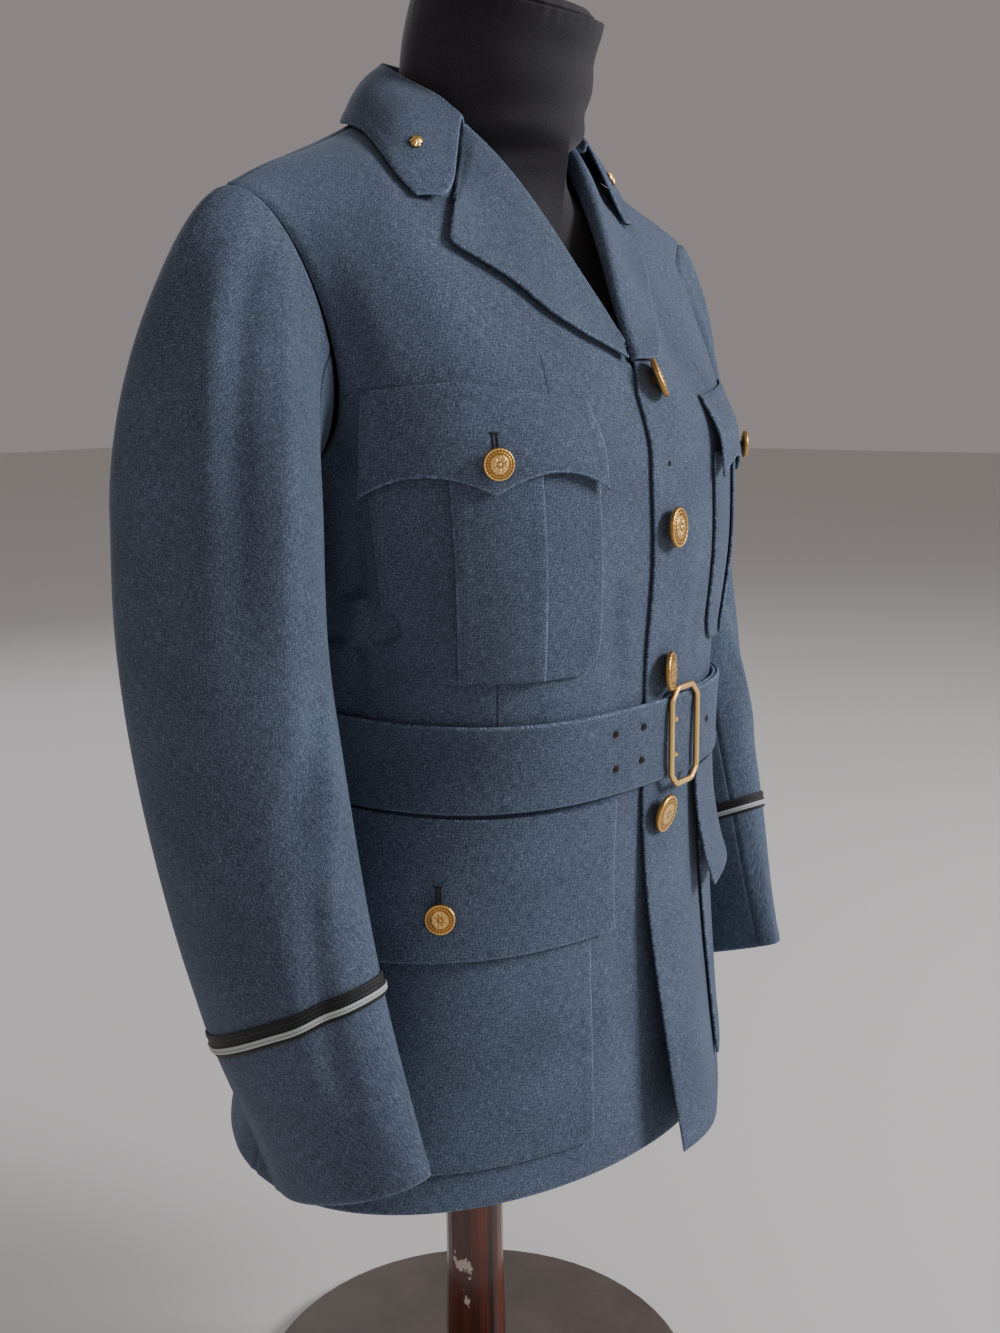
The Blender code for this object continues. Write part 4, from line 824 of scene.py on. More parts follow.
for side in ("left", "right"):
    middle = np.array([lapel_row(side, w) for w in spread(74, 0.4) * LAPEL_RUN_ON[side]])
    wool = barathea("wool_barathea_lapel_" + side, 0.02)
    half = grid_normals(middle, (0.2, -1.0, 0.3)) * WALL / 2
    lapel = cloth("lapel_cloth_" + side, middle + half, (0.2, -1.0, 0.3), wool, edges="rb", seams="t")
    wear(lapel, "lapel_" + side, flat=(0.09, 0.20), area=0.0095, held="folded",
         rests_on=["front_cloth_" + side])


def collar_row(side, w):
    """One line of the collar, up the stand, over the fold and down the fall to its edge, from
    the front end (w 0) to the centre back (w 1)."""
    fold = mirror(smooth_at(FOLD_LINE, w), side)
    if w < NECK_POINT:
        t = COLLAR_FROM + (0.998 - COLLAR_FROM) * w / NECK_POINT
        seam = over_shoulder(side, float(smooth_at(ROLL_LINE[side], t)[0]), t, 0.0)
    else:
        m = NECK_SHARE * (1 - (w - NECK_POINT) / (1 - NECK_POINT))
        seam = on_back(side, m * HALF_CHEST, CHEST_Z + RISE * float(neck_hole_top(m)))
    inward = unit((np.array([0, -28.0, seam[2]]) - seam) * np.array([1, 1, 0]))
    seam = seam + inward * (WALL / 2 + 0.7)
    m, t = smooth_at(COLLAR_EDGE, w)
    narrow = NARROW[side] * (1 - float(ease(w / 0.3)))
    stand = EDGE_STAND[side] + (BACK_STAND - EDGE_STAND[side]) * float(ease((w - 0.3) / 0.3))
    edge = over_shoulder(side, m - narrow, t, stand)
    fall = edge - fold
    away = unit(fall * np.array([1, 1, 0]))
    rise = np.array([0, 0, 1.0])
    turn_in = fold - rise * 1.2
    points = [seam + rise * 0.8, (seam + turn_in) / 2 - away, turn_in - rise * 2.0 - away * 0.4,
              fold + away * 1.3 + rise, fold + away * 4.0 - rise * 0.8]
    shares = (0.3, 0.5, 0.7, 0.85, 1.0)
    bow = unit(np.cross(np.cross(fall, rise), fall))
    for r in shares:
        points.append(fold + fall * r + bow * (5.0 * math.sin(math.pi * r) + 1.2 * (1 - r)))
    points = np.array(points)
    gorge = 1 - float(ease(w / 0.22))
    if gorge > 0:
        notch = over_shoulder(side, NOTCH[0] - NARROW[side], NOTCH[1], EDGE_STAND[side])
        start = mirror(smooth_at(FOLD_LINE, 0.0), side)
        first = over_shoulder(side, COLLAR_EDGE[0, 1] - NARROW[side], COLLAR_EDGE[0, 2], EDGE_STAND[side])
        for k, r in enumerate(shares):
            if r < 0.6:
                bent = start + (notch - start) * r / 0.6
            else:
                bent = notch + (first - notch) * (r - 0.6) / 0.4
            points[5 + k] += (bent - (start + (first - start) * r)) * gorge
    return through(points, [0, 0.12, 0.25, 0.31, 0.37, 0.5, 0.63, 0.78, 0.89, 1.0], 54)


half_way = spread(96, 0.25)
middle = np.array([collar_row("right", w) for w in half_way]
                  + [collar_row("left", w) for w in half_way[-2::-1]])
wool = barathea("wool_barathea_collar", 0.0)
half = grid_normals(middle, (0, 1.0, 0.3)) * WALL / 2
collar = cloth("collar_cloth", middle + half, (0, 1.0, 0.3), wool, edges="rbt")
wear(collar, "collar", flat=(0.095, 0.40), area=0.027, held="folded",
     rests_on=["front_cloth_left", "front_cloth_right"])


# Chest pockets.
# Patch pockets with rounded lower corners, a box pleat down the middle, and a flap with three
# soft points. All are edge-turned and sewn flat.
LIFT = 1.0
# Flap, pleat, pocket and front lie one on the other
CHEST_STAND = 3 * LIFT + 3 * WALL
CHEST_POCKET = {"centre": 140.0, "half": 71.0, "low": 576.0, "high": 699.0, "corner": 20.0}
CHEST_FLAP = {"half": 72.5, "low": 684.0, "high": 747.0, "scallop": 12.0}
PLEAT_HALF = 26.0


def chest_scale(h):
    return (ring_length(np.minimum(h, CHEST_Z)) / ring_length(CHEST_Z)) ** 0.75


def pocket_grid(side, pocket, scale, rows, cols, out):
    radius = pocket["corner"]
    above = np.clip(radius - (rows - pocket["low"]), 0, radius)
    inset = radius - np.sqrt(np.maximum(radius**2 - above**2, 0))
    k = scale(rows)
    first = (pocket["centre"] - pocket["half"] + inset) * k
    last = (pocket["centre"] + pocket["half"] - inset) * k
    l = first[:, None] + (last - first)[:, None] * spread(cols, 0.6)[None, :]
    h = np.broadcast_to(rows[:, None], l.shape)
    return on_front(side, l, h, out), np.stack([l, h], -1)


for side in ("left", "right"):
    low, high = CHEST_POCKET["low"], CHEST_POCKET["high"]
    rows = low + 0.2 + (high - low) * (np.linspace(0, 1, 60) ** 1.5)
    wool = barathea("wool_barathea_chest_pocket_" + side, -0.03)
    points, grain = pocket_grid(side, CHEST_POCKET, chest_scale, rows, 64, LIFT + WALL)
    pocket = cloth("chest_pocket_cloth_" + side, points, (0, -1, 0), wool, edges="lrb", grain=grain + 300)
    pleat = {"centre": CHEST_POCKET["centre"] - 2, "half": PLEAT_HALF, "corner": 0.01, "low": low}
    rows = low + 0.8 + (high - low) * spread(46, 0.4)
    points, grain = pocket_grid(side, pleat, chest_scale, rows, 30, 2 * LIFT + 2 * WALL)
    fold = cloth("chest_pleat_cloth_" + side, points, (0, -1, 0), wool, edges="lr", grain=grain + 470)
    across = spread(110, 0.4)[None, :]
    down = spread(42, 0.5)[:, None]
    bottom = CHEST_FLAP["low"] + CHEST_FLAP["scallop"] * np.abs(np.sin(2 * np.pi * across)) ** 0.8
    h = CHEST_FLAP["high"] + (bottom - CHEST_FLAP["high"]) * down
    l = CHEST_POCKET["centre"] + (CHEST_FLAP["half"] - 2 + 2 * down) * (2 * across - 1)
    stand = CHEST_STAND * (0.38 + 0.62 * ease(down / 0.6)) + 1.4 * down**3 + 0 * across
    flap_wool = barathea("wool_barathea_chest_flap_" + side, 0.0)
    flap = cloth("chest_flap_cloth_" + side, on_front(side, l, h, stand), (0, -1, 0), flap_wool,
                 edges="lrt", seams="b", grain=np.stack([l, h], -1) + 700)
    for piece, part, flat, area in ((pocket, "chest_pocket_", (0.145, 0.125), 0.0170),
                                    (fold, "chest_pleat_", (0.052, 0.123), 0.0063),
                                    (flap, "chest_flap_", (0.146, 0.064), 0.0080)):
        wear(piece, part + side, flat=flat, area=area, held="laid",
             rests_on=["front_cloth_" + side])


# Hip pockets.
# Large plain patch pockets that run up under the belt, with straight flaps. The left flap's
# lower corner springs away from the skirt.
HIP_POCKET = {"centre": 166.0, "half": 99.0, "low": 282.0, "high": 494.0, "corner": 4.0}
HIP_FLAP = {"half": 116.0, "low": 413.0, "high": 494.0}
HIP_REF_Z = 420.0
HIP_FLARE = {"left": 9.0, "right": 1.0}
# The hip pockets stand off a little more than their cloth, over a fuller skirt
HIP_STAND = LIFT + WALL + 0.5


def hip_scale(h):
    return ring_length(np.minimum(h, CHEST_Z)) / ring_length(HIP_REF_Z)


for side in ("left", "right"):
    low, high = HIP_POCKET["low"], HIP_POCKET["high"]
    rows = low + 0.2 + (high - low - 0.4) * (np.linspace(0, 1, 84) ** 1.15)
    wool = barathea("wool_barathea_hip_pocket_" + side, -0.02)
    points, grain = pocket_grid(side, HIP_POCKET, hip_scale, rows, 78, HIP_STAND)
    pocket = cloth("hip_pocket_cloth_" + side, points, (0, -1, 0), wool, edges="lrb", grain=grain + 300)
    across = spread(96, 0.5)[None, :]
    down = spread(40, 0.4)[:, None]
    h = HIP_FLAP["high"] + (HIP_FLAP["low"] - HIP_FLAP["high"]) * down - 3.0 * ease(across) * down
    l = (HIP_POCKET["centre"] + HIP_FLAP["half"] * (2 * across - 1)) * hip_scale(h)
    stand = HIP_STAND + LIFT + WALL + HIP_FLARE[side] * down**2 + 1.0 * down**3 + 0 * across
    flap_wool = barathea("wool_barathea_hip_flap_" + side, 0.0)
    flap = cloth("hip_flap_cloth_" + side, on_front(side, l, h, stand), (0, -1, 0), flap_wool, edges="lrt",
                 grain=np.stack([l, h], -1) + 900)
    for piece, part, flat, area in ((pocket, "hip_pocket_", (0.21, 0.213), 0.0425),
                                    (flap, "hip_flap_", (0.235, 0.083), 0.0193)):
        wear(piece, part + side, flat=flat, area=area, held="laid",
             rests_on=["front_cloth_" + side])


# Belt.
# One stitched strap of doubled cloth, once round the waist and through the buckle, its pointed
# tip lying on the wearer's left. Sewn eyelets run in two rows.
# Height of its middle, width, thickness, and gap to the cloth
BELT_Z, BELT_WIDTH, BELT_WALL, BELT_GAP = 523.6, 51.0, 2.2, 2.4
BELT_INNER_END, BELT_TIP_END = 44.0, 150.0
WAIST = 2 * float(ring_length(BELT_Z))


def belt_at(u, height, extra=0.0):
    """Points and outward directions on the belt, u mm from its inner end."""
    u, height = np.broadcast_arrays(np.asarray(u, float), np.asarray(height, float))
    place = BELT_INNER_END + u
    out = BELT_GAP + BELT_WALL + ease((place - (WAIST - 60)) / 70) * (BELT_WALL + 0.7)
    l = np.mod(place, WAIST)
    left = l <= WAIST / 2
    l = np.where(left, l, WAIST - l)
    flip = np.stack([np.where(left, 1.0, -1.0), 1 + 0 * l, 1 + 0 * l], -1)
    p = ring_at(l, height)
    n = ring_at(l + 1.0, height) - ring_at(np.maximum(l - 1.0, 0), height)
    n = unit(np.stack([-n[..., 1], n[..., 0], 0 * l], -1))
    n = np.where(((n * (p + np.array([0, 20.0, 0]))).sum(-1) < 0)[..., None], -n, n)
    n = np.where((l < 1.0)[..., None], np.array([0, -1.0, 0]), n)
    return (p + n * (out + extra)[..., None]) * flip, n * flip


belt_length = WAIST + BELT_TIP_END - BELT_INNER_END
u = belt_length * np.linspace(0, 1, 380)[None, :]
v = spread(20, 0.6)[:, None]
tip = np.maximum(0, (u - (belt_length - 18)) / 18)
height = BELT_Z + BELT_WIDTH * (v - 0.5) * (1 - 0.35 * tip**2)
sag = 0.5 * np.sin(u / 37.0) * ease(u / 60) * ease((belt_length - u) / 200)
points = belt_at(u, height, sag * (1 - (2 * v - 1) ** 2))[0]
belt_wool = barathea("wool_barathea_belt", -0.02)
belt = cloth("belt_cloth", points, points - points.mean((0, 1)), belt_wool, edges="lrbt", thick=BELT_WALL)
wear(belt, "belt", flat=(0.051, round(belt_length / 1000, 3)), held="laid",
     rests_on=["front_cloth_left", "front_cloth_right"])


# Rank lace.
# A black woven band round each forearm with a narrow pale stripe down its middle, both sewn
# flat through the sleeve.
LACE_AT, LACE_WIDTH, STRIPE_WIDTH = 0.735, 13.0, 3.2
# Rise to the front, and how much lower the stripe lies, as shares of the arm from cap to cuff
LACE_RISE, STRIPE_DROP = 0.024, 0.005
# Height over length of the leaning sleeve where the lace goes round
LEAN = 0.93


def braid(name, dark, pale, ribs):
    """Flat woven braid with ribs across it; its threads are drawn a little coarser than real."""
    made, tree, shader = new_material(name, 0.62, Sheen_Weight=0.1, Specular_IOR_Level=0.35)
    place = node(tree, "Attribute", {"attribute_name": "cut"}).outputs["Vector"]
    along = node(tree, "SeparateXYZ", Vector=place)
    turn = node(tree, "Math", {"operation": "MULTIPLY"}, (along.outputs["X"], ribs))
    rib = node(tree, "Math", {"operation": "SINE"}, (turn.outputs[0],))
    fuzz = node(tree, "TexNoise", Vector=place, Scale=1.6, Detail=2.0)
    row = node(tree, "Math", {"operation": "MULTIPLY"}, (along.outputs["Y"], 2.6))
    row = node(tree, "Math", {"operation": "SINE"}, (row.outputs[0],))
    rows = node(tree, "Math", {"operation": "MULTIPLY_ADD"}, (row.outputs[0], 0.35, fuzz.outputs["Fac"]))
    height = node(tree, "Math", {"operation": "MULTIPLY_ADD"}, (rib.outputs[0], 0.25, rows.outputs[0]))
    # The colour follows the bump's height: the grooves between ribs and rows are painted darker as shade
    # and their tops lighter, and the fuzz noise adds a random tone.
    share = node(tree, "MapRange", Value=height.outputs[0], From_Min=0.2, From_Max=0.9)
    tone = node(tree, "Mix", {"data_type": "RGBA"}, Factor=share.outputs[0],
                A=colour(dark), B=colour(pale))
    tree.links.new(tone.outputs["Result"], shader.inputs["Base Color"])
    bump = node(tree, "Bump", Height=height.outputs[0], Strength=0.5, Distance=0.0004)
    tree.links.new(bump.outputs["Normal"], shader.inputs["Normal"])
    return made


black_braid = braid("black_mohair_braid", "#0b0c0c", "#24282a", 3.9)
pale_braid = braid("pale_blue_grey_braid", "#8d9797", "#c9d2d0", 5.2)
for side in ("left", "right"):
    for part, width, lift, wall, look, slot in (
            ("lace", LACE_WIDTH, 1.5, 0.8, black_braid, "lace"),
            ("lace_stripe", STRIPE_WIDTH, 2.5, 0.6, pale_braid, "stripe")):
        half = width / (CAP_JOIN - CUFF_Z) / 2 * LEAN
        turn = np.linspace(0, 360, 220, endpoint=False)[None, :]
        slant = -LACE_RISE * np.sin(np.radians(turn)) + STRIPE_DROP * (part == "lace_stripe")
        s = 1 + LACE_AT + half * np.linspace(-1, 1, 13)[:, None] + slant
        ribbed = 0.22 * np.cos(np.linspace(-3, 3, 13) * np.pi)[:, None] * (part == "lace")
        points = on_sleeve(side, turn + 0 * s, s, lift + ribbed)
        ring = cloth(part + "_cloth_" + side, points, points - points.mean((0, 1)), look,
                     wrap=True, thick=wall)
        wear(ring, "%s_%s" % (part, side), slot)


# Buttons.
# Stamped domed buttons of gilded brass, four down the front and one on each pocket flap, each
# on its shank. The face has a plain rosette inside a beaded ring and a roped rim.
# Name, height, turn to the side and nod, in degrees
FRONT_BUTTONS = (("a", 756.0, 30.0, 0.0), ("b", 657.0, 8.0, 0.0),
                 ("c", 567.0, 20.0, 4.0), ("d", 476.0, 4.0, -14.0))
FRONT_R, POCKET_R, SHANK_R = 12.6, 9.2, 2.2
# Height of the dome's foot above the cloth, beads round a button, and faces round it
DOME_Z, BEADS, BUTTON_TURNS = 5.3, 25, 100


def gilt(name):
    """Gilded brass: warm and fairly smooth, with rubbed high parts, dark dirt in the hollows, and painted
    shade on undersides and where the buckle wire faces the belt.
    """
    made, tree, shader = new_material(name, 0.3, 1.0)
    place = node(tree, "TexCoord").outputs["Object"]
    rub = node(tree, "TexNoise", Vector=place, Scale=700.0, Detail=3.0)
    dirt_and_shade = node(tree, "Attribute", {"attribute_name": "dirt_and_shade"}).outputs["Fac"]
    # The mark darkens the gilt: dirt in the stamped hollows, and painted shade on undersides and on the
    # side of the buckle wire that faces the belt.
    tone = node(tree, "ValToRGB", Fac=dirt_and_shade, stops=((0.3, "#ffd68a"), (1.0, "#a56f2c")))
    tree.links.new(tone.outputs["Color"], shader.inputs["Base Color"])
    rough = node(tree, "MapRange", Value=rub.outputs["Fac"], To_Min=0.28, To_Max=0.46)
    tree.links.new(rough.outputs[0], shader.inputs["Roughness"])
    bump = node(tree, "Bump", Height=rub.outputs["Fac"], Strength=0.1, Distance=0.0002)
    tree.links.new(bump.outputs["Normal"], shader.inputs["Normal"])
    return made


def rosette(share, turn):
    """Height of the stamped face, 0 to 1, at a share of the radius and a turn."""
    petal = np.abs(np.cos(4 * turn)) ** 0.7 * np.sin(np.pi * np.clip((share - 0.16) / 0.44, 0, 1)) ** 0.8
    small = np.abs(np.sin(4 * turn)) ** 3 * np.sin(np.pi * np.clip((share - 0.34) / 0.30, 0, 1))
    boss = ease(1 - share / 0.17)
    bead = np.exp(-((share - 0.72) / 0.04) ** 2) * (0.5 + 0.5 * np.cos(BEADS * turn))
    rope = np.exp(-((share - 0.91) / 0.05) ** 2) * (0.75 + 0.25 * np.cos(BEADS * turn + 20 * share))
    return np.maximum.reduce([petal, 0.7 * small, 1.1 * boss, 0.8 * bead, 1.1 * rope])


def ring_faces(rows, cols, closed=False):
    """Faces between rings of points, ring after ring. closed adds a fan at each end, round two
    more points that follow the last ring."""
    at = np.arange(rows * cols).reshape(rows, cols)
    next_at = np.roll(at, -1, 1)
    faces = np.stack([at[:-1], next_at[:-1], next_at[1:], at[1:]], -1).reshape(-1, 4).tolist()
    if closed:
        for centre, ring, way in ((rows * cols, at[0], -1), (rows * cols + 1, at[-1], 1)):
            faces += [(centre, ring[j], ring[(j + 1) % cols])[::way] for j in range(cols)]
    return faces


def make_button(name, place, axis, radius):
    """A domed button on its shank, from the middle of its face out and down to the cloth."""
    rim = 0.16 * radius
    shares = np.r_[0.001, np.linspace(0.05, 0.97, 30), 1.0]
    turns = np.linspace(0, 2 * math.pi, BUTTON_TURNS, endpoint=False)
    share, turn = np.meshgrid(shares, turns, indexing="ij")
    relief = rosette(share, turn)
    deep = 0.05 * radius
    height = DOME_Z + rim - 1.0 * share**2 - 0.7 * ease((share - 0.96) / 0.04) + deep * (relief - 0.6)
    rows = [(share[k] * radius, height[k]) for k in range(len(shares))]
    under = ((radius, 4.2), (0.93 * radius, 3.6), (0.72 * radius, 3.0), (SHANK_R, 2.6),
             (SHANK_R, 0.0), (0.01, 0.0))
    for r, z in under:
        rows.append((np.full(len(turns), r), np.full(len(turns), z)))
    a = unit(np.cross(axis, np.array([0.0, 0, 1.0])))
    b = np.cross(axis, a)
    circle = a * np.cos(turns)[:, None] + b * np.sin(turns)[:, None]
    points = [place + axis * z[:, None] + circle * r[:, None] for r, z in rows]
    faces = ring_faces(len(points), len(turns))
    button = mesh_object(name, np.concatenate(points), faces, stamped)
    # The face is darker in the hollows of its relief, for dirt; the underside and shank are 0.4 dark, a
    # painted shade where they face the cloth.
    mark(button, "dirt_and_shade", np.r_[np.clip(1 - relief, 0, 1).ravel(),
                                 np.full(len(under) * len(turns), 0.4)])
    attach(button, "root")
    return button


stamped = gilt("stamped_gilded_brass")
for name, h, turn, nod in FRONT_BUTTONS:
    place = on_front("left", 0.5, h)
    out = on_front("left", 0.5, h, 1.0) - place
    a = math.radians(turn)
    axis = unit(np.array([out[0] * math.cos(a) - out[1] * math.sin(a),
                          out[0] * math.sin(a) + out[1] * math.cos(a),
                          out[2] + math.sin(math.radians(nod))]))
    tilt = math.sqrt(max(1 - (axis @ out) ** 2, 0))
    button = make_button("front_button_gilt_" + name, place + out * (0.55 + SHANK_R * tilt), axis, FRONT_R)
    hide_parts("front_button_" + name)


def thread_like(name, roughness, dark, pale, scale, **shader):
    """A thread, or the painted shade in a hole between threads: two close colours mixed by a fine noise."""
    made, tree, principled = new_material(name, roughness, **shader)
    strand = node(tree, "TexNoise", Vector=node(tree, "TexCoord").outputs["Object"],
                  Scale=scale, Detail=2.0)
    tone = node(tree, "Mix", {"data_type": "RGBA"}, Factor=strand.outputs["Fac"],
                A=colour(dark), B=colour(pale))
    tree.links.new(tone.outputs["Result"], principled.inputs["Base Color"])
    return made


# Pocket buttonholes are upright, worked in dark twist; the part above each button shows
twist = thread_like("dark_buttonhole_twist", 0.8, "#0c0d12", "#2a2e38", 1500.0, Sheen_Weight=0.1)
brown_thread = thread_like("brown_linen_thread", 0.75, "#3c211c", "#6b4238", 1800.0)
# Faces round a thread; length and half width of a worked hole above its button
THREAD_SIDES, HOLE_LONG, HOLE_HALF = 8, 18.0, 1.15


def thread(name, line, radius, look):
    """A round thread along a line of points, closed at both ends."""
    line = np.asarray(line, float)
    way = unit(np.gradient(line, axis=0))
    side_way = unit(np.cross(way, np.array([0.31, 0.55, 0.77])))
    other = np.cross(way, side_way)
    turns = np.linspace(0, 2 * math.pi, THREAD_SIDES, endpoint=False)
    ring = side_way[:, None] * np.cos(turns)[:, None] + other[:, None] * np.sin(turns)[:, None]
    points = np.r_[(line[:, None] + ring * radius).reshape(-1, 3), [line[0], line[-1]]]
    made = mesh_object(name, points, ring_faces(len(line), THREAD_SIDES, True), look)
    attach(made, "root")
    return made


def chest_flap_stand(side, h):
    """How far a chest flap stands off the front at a height."""
    return CHEST_STAND * (0.38 + 0.62 * ease((CHEST_FLAP["high"] - h) / 40))


def hip_flap_stand(side, h):
    """How far a hip flap stands off the front at a height."""
    down = (HIP_FLAP["high"] - h) / (HIP_FLAP["high"] - HIP_FLAP["low"])
    return HIP_STAND + LIFT + WALL + 0.3 + HIP_FLARE[side] * down**2


# Heights of the pocket buttons above their flaps' lower edges
CHEST_BUTTON_UP, HIP_BUTTON_UP = 18.0, 25.0


def worked_hole(name, side, flap_stand, l, h):
    """The two worked sides and the bar of a buttonhole, from the button up."""
    rise = h + np.linspace(2, HOLE_LONG - 0.5, 12)
    for k, off in enumerate((-HOLE_HALF, HOLE_HALF)):
        line = on_front(side, l + off, rise, 0.45 + flap_stand(side, rise))
        thread("%s_side_%d" % (name, k), line, 0.62, twist)
    across = np.linspace(-2.5, 2.5, 7)
    top = h + HOLE_LONG + 0 * across
    bar = on_front(side, l + across, top, 0.55 + flap_stand(side, top))
    thread(name + "_bar", bar, 0.7, twist)


for side in ("left", "right"):
    l, h = CHEST_POCKET["centre"], CHEST_FLAP["low"] + CHEST_BUTTON_UP
    place = on_front(side, l, h, CHEST_STAND + 0.5)
    axis = unit(on_front(side, l, h, CHEST_STAND + 1.5) - place)
    button = make_button("chest_button_gilt_" + side, place, axis, POCKET_R)
    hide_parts("chest_button_" + side)
    worked_hole("chest_hole_" + side, side, chest_flap_stand, l, h)
    h = HIP_FLAP["low"] + HIP_BUTTON_UP
    l = HIP_POCKET["centre"] * hip_scale(h)
    down = (HIP_FLAP["high"] - h) / (HIP_FLAP["high"] - HIP_FLAP["low"])
    stand = HIP_STAND + LIFT + WALL + HIP_FLARE[side] * down**2
    place = on_front(side, l, h, stand + 0.8)
    axis = unit(on_front(side, l, h, stand + 1.8) - place)
    button = make_button("hip_button_gilt_" + side, place, axis, POCKET_R)
    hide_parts("hip_button_" + side)
    worked_hole("hip_hole_" + side, side, hip_flap_stand, l, h)


# Eyelets of the belt, two rows of two beside the buckle and one near the tip, whipped round a
# hole. The left front has a small worked hole above its second button, and three ends of brown
# thread beside that button. Each hole is a dark disc of painted shade.
hole_shade = thread_like("eyelet_hole_painted_shade", 0.95, "#050508", "#101117", 800.0)


# Faces round a hole, and the radius of a belt eyelet
HOLE_TURNS, EYELET_R = 24, 1.9


def eyelet(name, place, n, radius):
    """A whipped ring lying on the cloth, and a dark disc of painted shade in the hole inside it, facing
    along n.
    """
    a = unit(np.cross(n, np.array([0.0, 0, 1.0])))
    b = np.cross(n, a)
    turns = np.linspace(0, 2 * math.pi, 28)
    circle = a * np.cos(turns)[:, None] + b * np.sin(turns)[:, None]
    thread(name + "_whipping", place + n * 0.15 + circle * radius, 0.5, twist)
    count = HOLE_TURNS
    turns = np.linspace(0, 2 * math.pi, count, endpoint=False)
    circle = (a * np.cos(turns)[:, None] + b * np.sin(turns)[:, None]) * radius
    points = np.r_[place + n * 0.45 + circle * 0.9, place + n * 0.1 + circle * 0.9,
                   [place + n * 0.3, place + n * 0.1]]
    k = np.arange(count)
    m = (k + 1) % count
    faces = np.stack([k, m, m + count, k + count], -1).tolist()
    faces += [(2 * count, j, (j + 1) % count)[::-1] for j in range(count)]
    faces += [(2 * count + 1, count + j, count + (j + 1) % count) for j in range(count)]
    hole = mesh_object(name + "_hole", points, faces, hole_shade)
    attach(hole, "root")


for k, (l, h) in enumerate(((-23, 536), (-49.5, 536), (-24, 515), (-48.5, 514), (59.5, 525))):
    place, n = belt_at(WAIST + l - BELT_INNER_END, h)
    eyelet("belt_eyelet_%d" % k, place, n, EYELET_R)
NICK_AT, NICK_Z, SECOND_BUTTON_Z = 2.0, 695.6, 657
place = on_front("left", NICK_AT, NICK_Z)
eyelet("front_nick", place, on_front("left", NICK_AT, NICK_Z, 1.0) - place, 1.2)
for k, (end, drop) in enumerate(((19, 2), (17, -2), (20, -4))):
    l = np.linspace(6, end, 9)
    line = on_front("left", l, SECOND_BUTTON_Z + drop * (l - 6) / 10, 0.5)
    thread("front_thread_end_%d" % k, line, 0.28, brown_thread)


# Collar pins.
# A small plain gilt leaf pin on each side of the collar, stamped and raised down its middle
# rib, and pushed through the fall.
# Place along the collar; half length, half width and height of a leaf
PIN_AT, LEAF_LONG, LEAF_WIDE, LEAF_HIGH = 0.13, 5.2, 3.3, 2.2
for side in ("left", "right"):
    line = collar_row(side, PIN_AT)
    across = unit(line[35] - collar_row(side, PIN_AT - 0.03)[35])
    long_way = unit(line[27] - line[47])
    n = unit(np.cross(long_way, across))
    if n @ np.array([0, -1.0, 1.0]) < 0:
        n = -n
    foot = (line[37] + line[38]) / 2 + n * (WALL / 2 + 0.5)
    wide_way = np.cross(long_way, n)
    rows, cols = 15, 40
    share = np.linspace(0.02, 1, rows)[:, None]
    turn = np.linspace(0, 2 * math.pi, cols, endpoint=False)[None, :]
    leaf = LEAF_WIDE * (1 + 0.16 * np.cos(6 * turn)) * np.abs(np.sin(turn))
    raised = LEAF_HIGH - 1.5 * share**2 + 0.25 * np.cos(9 * turn) * share
    top_face = (foot + long_way * (LEAF_LONG * np.cos(turn) * share)[..., None]
                + wide_way * (np.sign(np.sin(turn)) * leaf * share)[..., None]
                + n * raised[..., None])
    back = top_face[::-1] - foot
    bottom = foot + back - n * ((back @ n)[..., None] - 0.05)
    points = np.r_[top_face.reshape(-1, 3), bottom.reshape(-1, 3)]
    pin = mesh_object("collar_leaf_" + side, points, ring_faces(2 * rows, cols), stamped)
    ridge = np.clip(0.5 + 0.5 * np.cos(9 * turn) * share, 0, 1)
    # The leaf is darker in the hollows between its veins, for dirt; its underside is painted fully dark, as
    # shade against the collar.
    mark(pin, "dirt_and_shade", np.r_[(1 - ridge).ravel(), np.ones(rows * cols)])
    wear(pin, "collar_pin_" + side, "gilt")


# Buckle.
# A plain gilt wire frame with cut corners, cast in one, and two short prongs through the
# strap. The frame is round in section.
def belt_frame(l):
    """A place on the belt's middle, with its directions out and along."""
    p, out = belt_at(WAIST + l - BELT_INNER_END, BELT_Z)
    along = np.cross(np.array([0, 0, 1.0]), out)
    return p, out, along if along[0] > 0 else -along


cast = gilt("cast_gilded_brass")
# Half sizes of the frame, its cut corners and their bend, its wire's radius, and its stand
wide, tall, cut, bend, wire, frame_stand = 16.6, 31.1, 7.0, 2.2, 1.9, 2.45
BUCKLE_AT, WIRE_TURNS = 20.0, 16
centre, out, along = belt_frame(BUCKLE_AT)
centre = centre + out * frame_stand
plan = [(wide, tall - cut), (wide - cut, tall), (cut - wide, tall), (-wide, tall - cut),
        (-wide, cut - tall), (cut - wide, -tall), (wide - cut, -tall), (wide, cut - tall)]
line = []
for k in range(8):
    a, b = np.array(plan[k - 1]), np.array(plan[k])
    c = np.array(plan[(k + 1) % 8])
    p0, p1 = b + unit(a - b) * bend, b + unit(c - b) * bend
    for r in np.linspace(0, 1, 7):
        line.append((1 - r) ** 2 * p0 + 2 * r * (1 - r) * b + r**2 * p1)
line = np.array(line)
way = unit(np.roll(line, -1, 0) - np.roll(line, 1, 0))
turns = np.linspace(0, 2 * math.pi, WIRE_TURNS, endpoint=False)
side_way = np.stack([way[:, 1], -way[:, 0]], -1)
up_way = np.array([0, 0, 1.0])
ring = []
for q in turns:
    flat = line + side_way * wire * 1.05 * math.cos(q)
    ring.append(centre + along * flat[:, :1] + up_way * flat[:, 1:] + out * wire * math.sin(q))
points = np.stack(ring, 1)
at = np.arange(len(line) * WIRE_TURNS).reshape(len(line), WIRE_TURNS)
next_row, next_col = np.roll(at, -1, 0), np.roll(at, -1, 1)
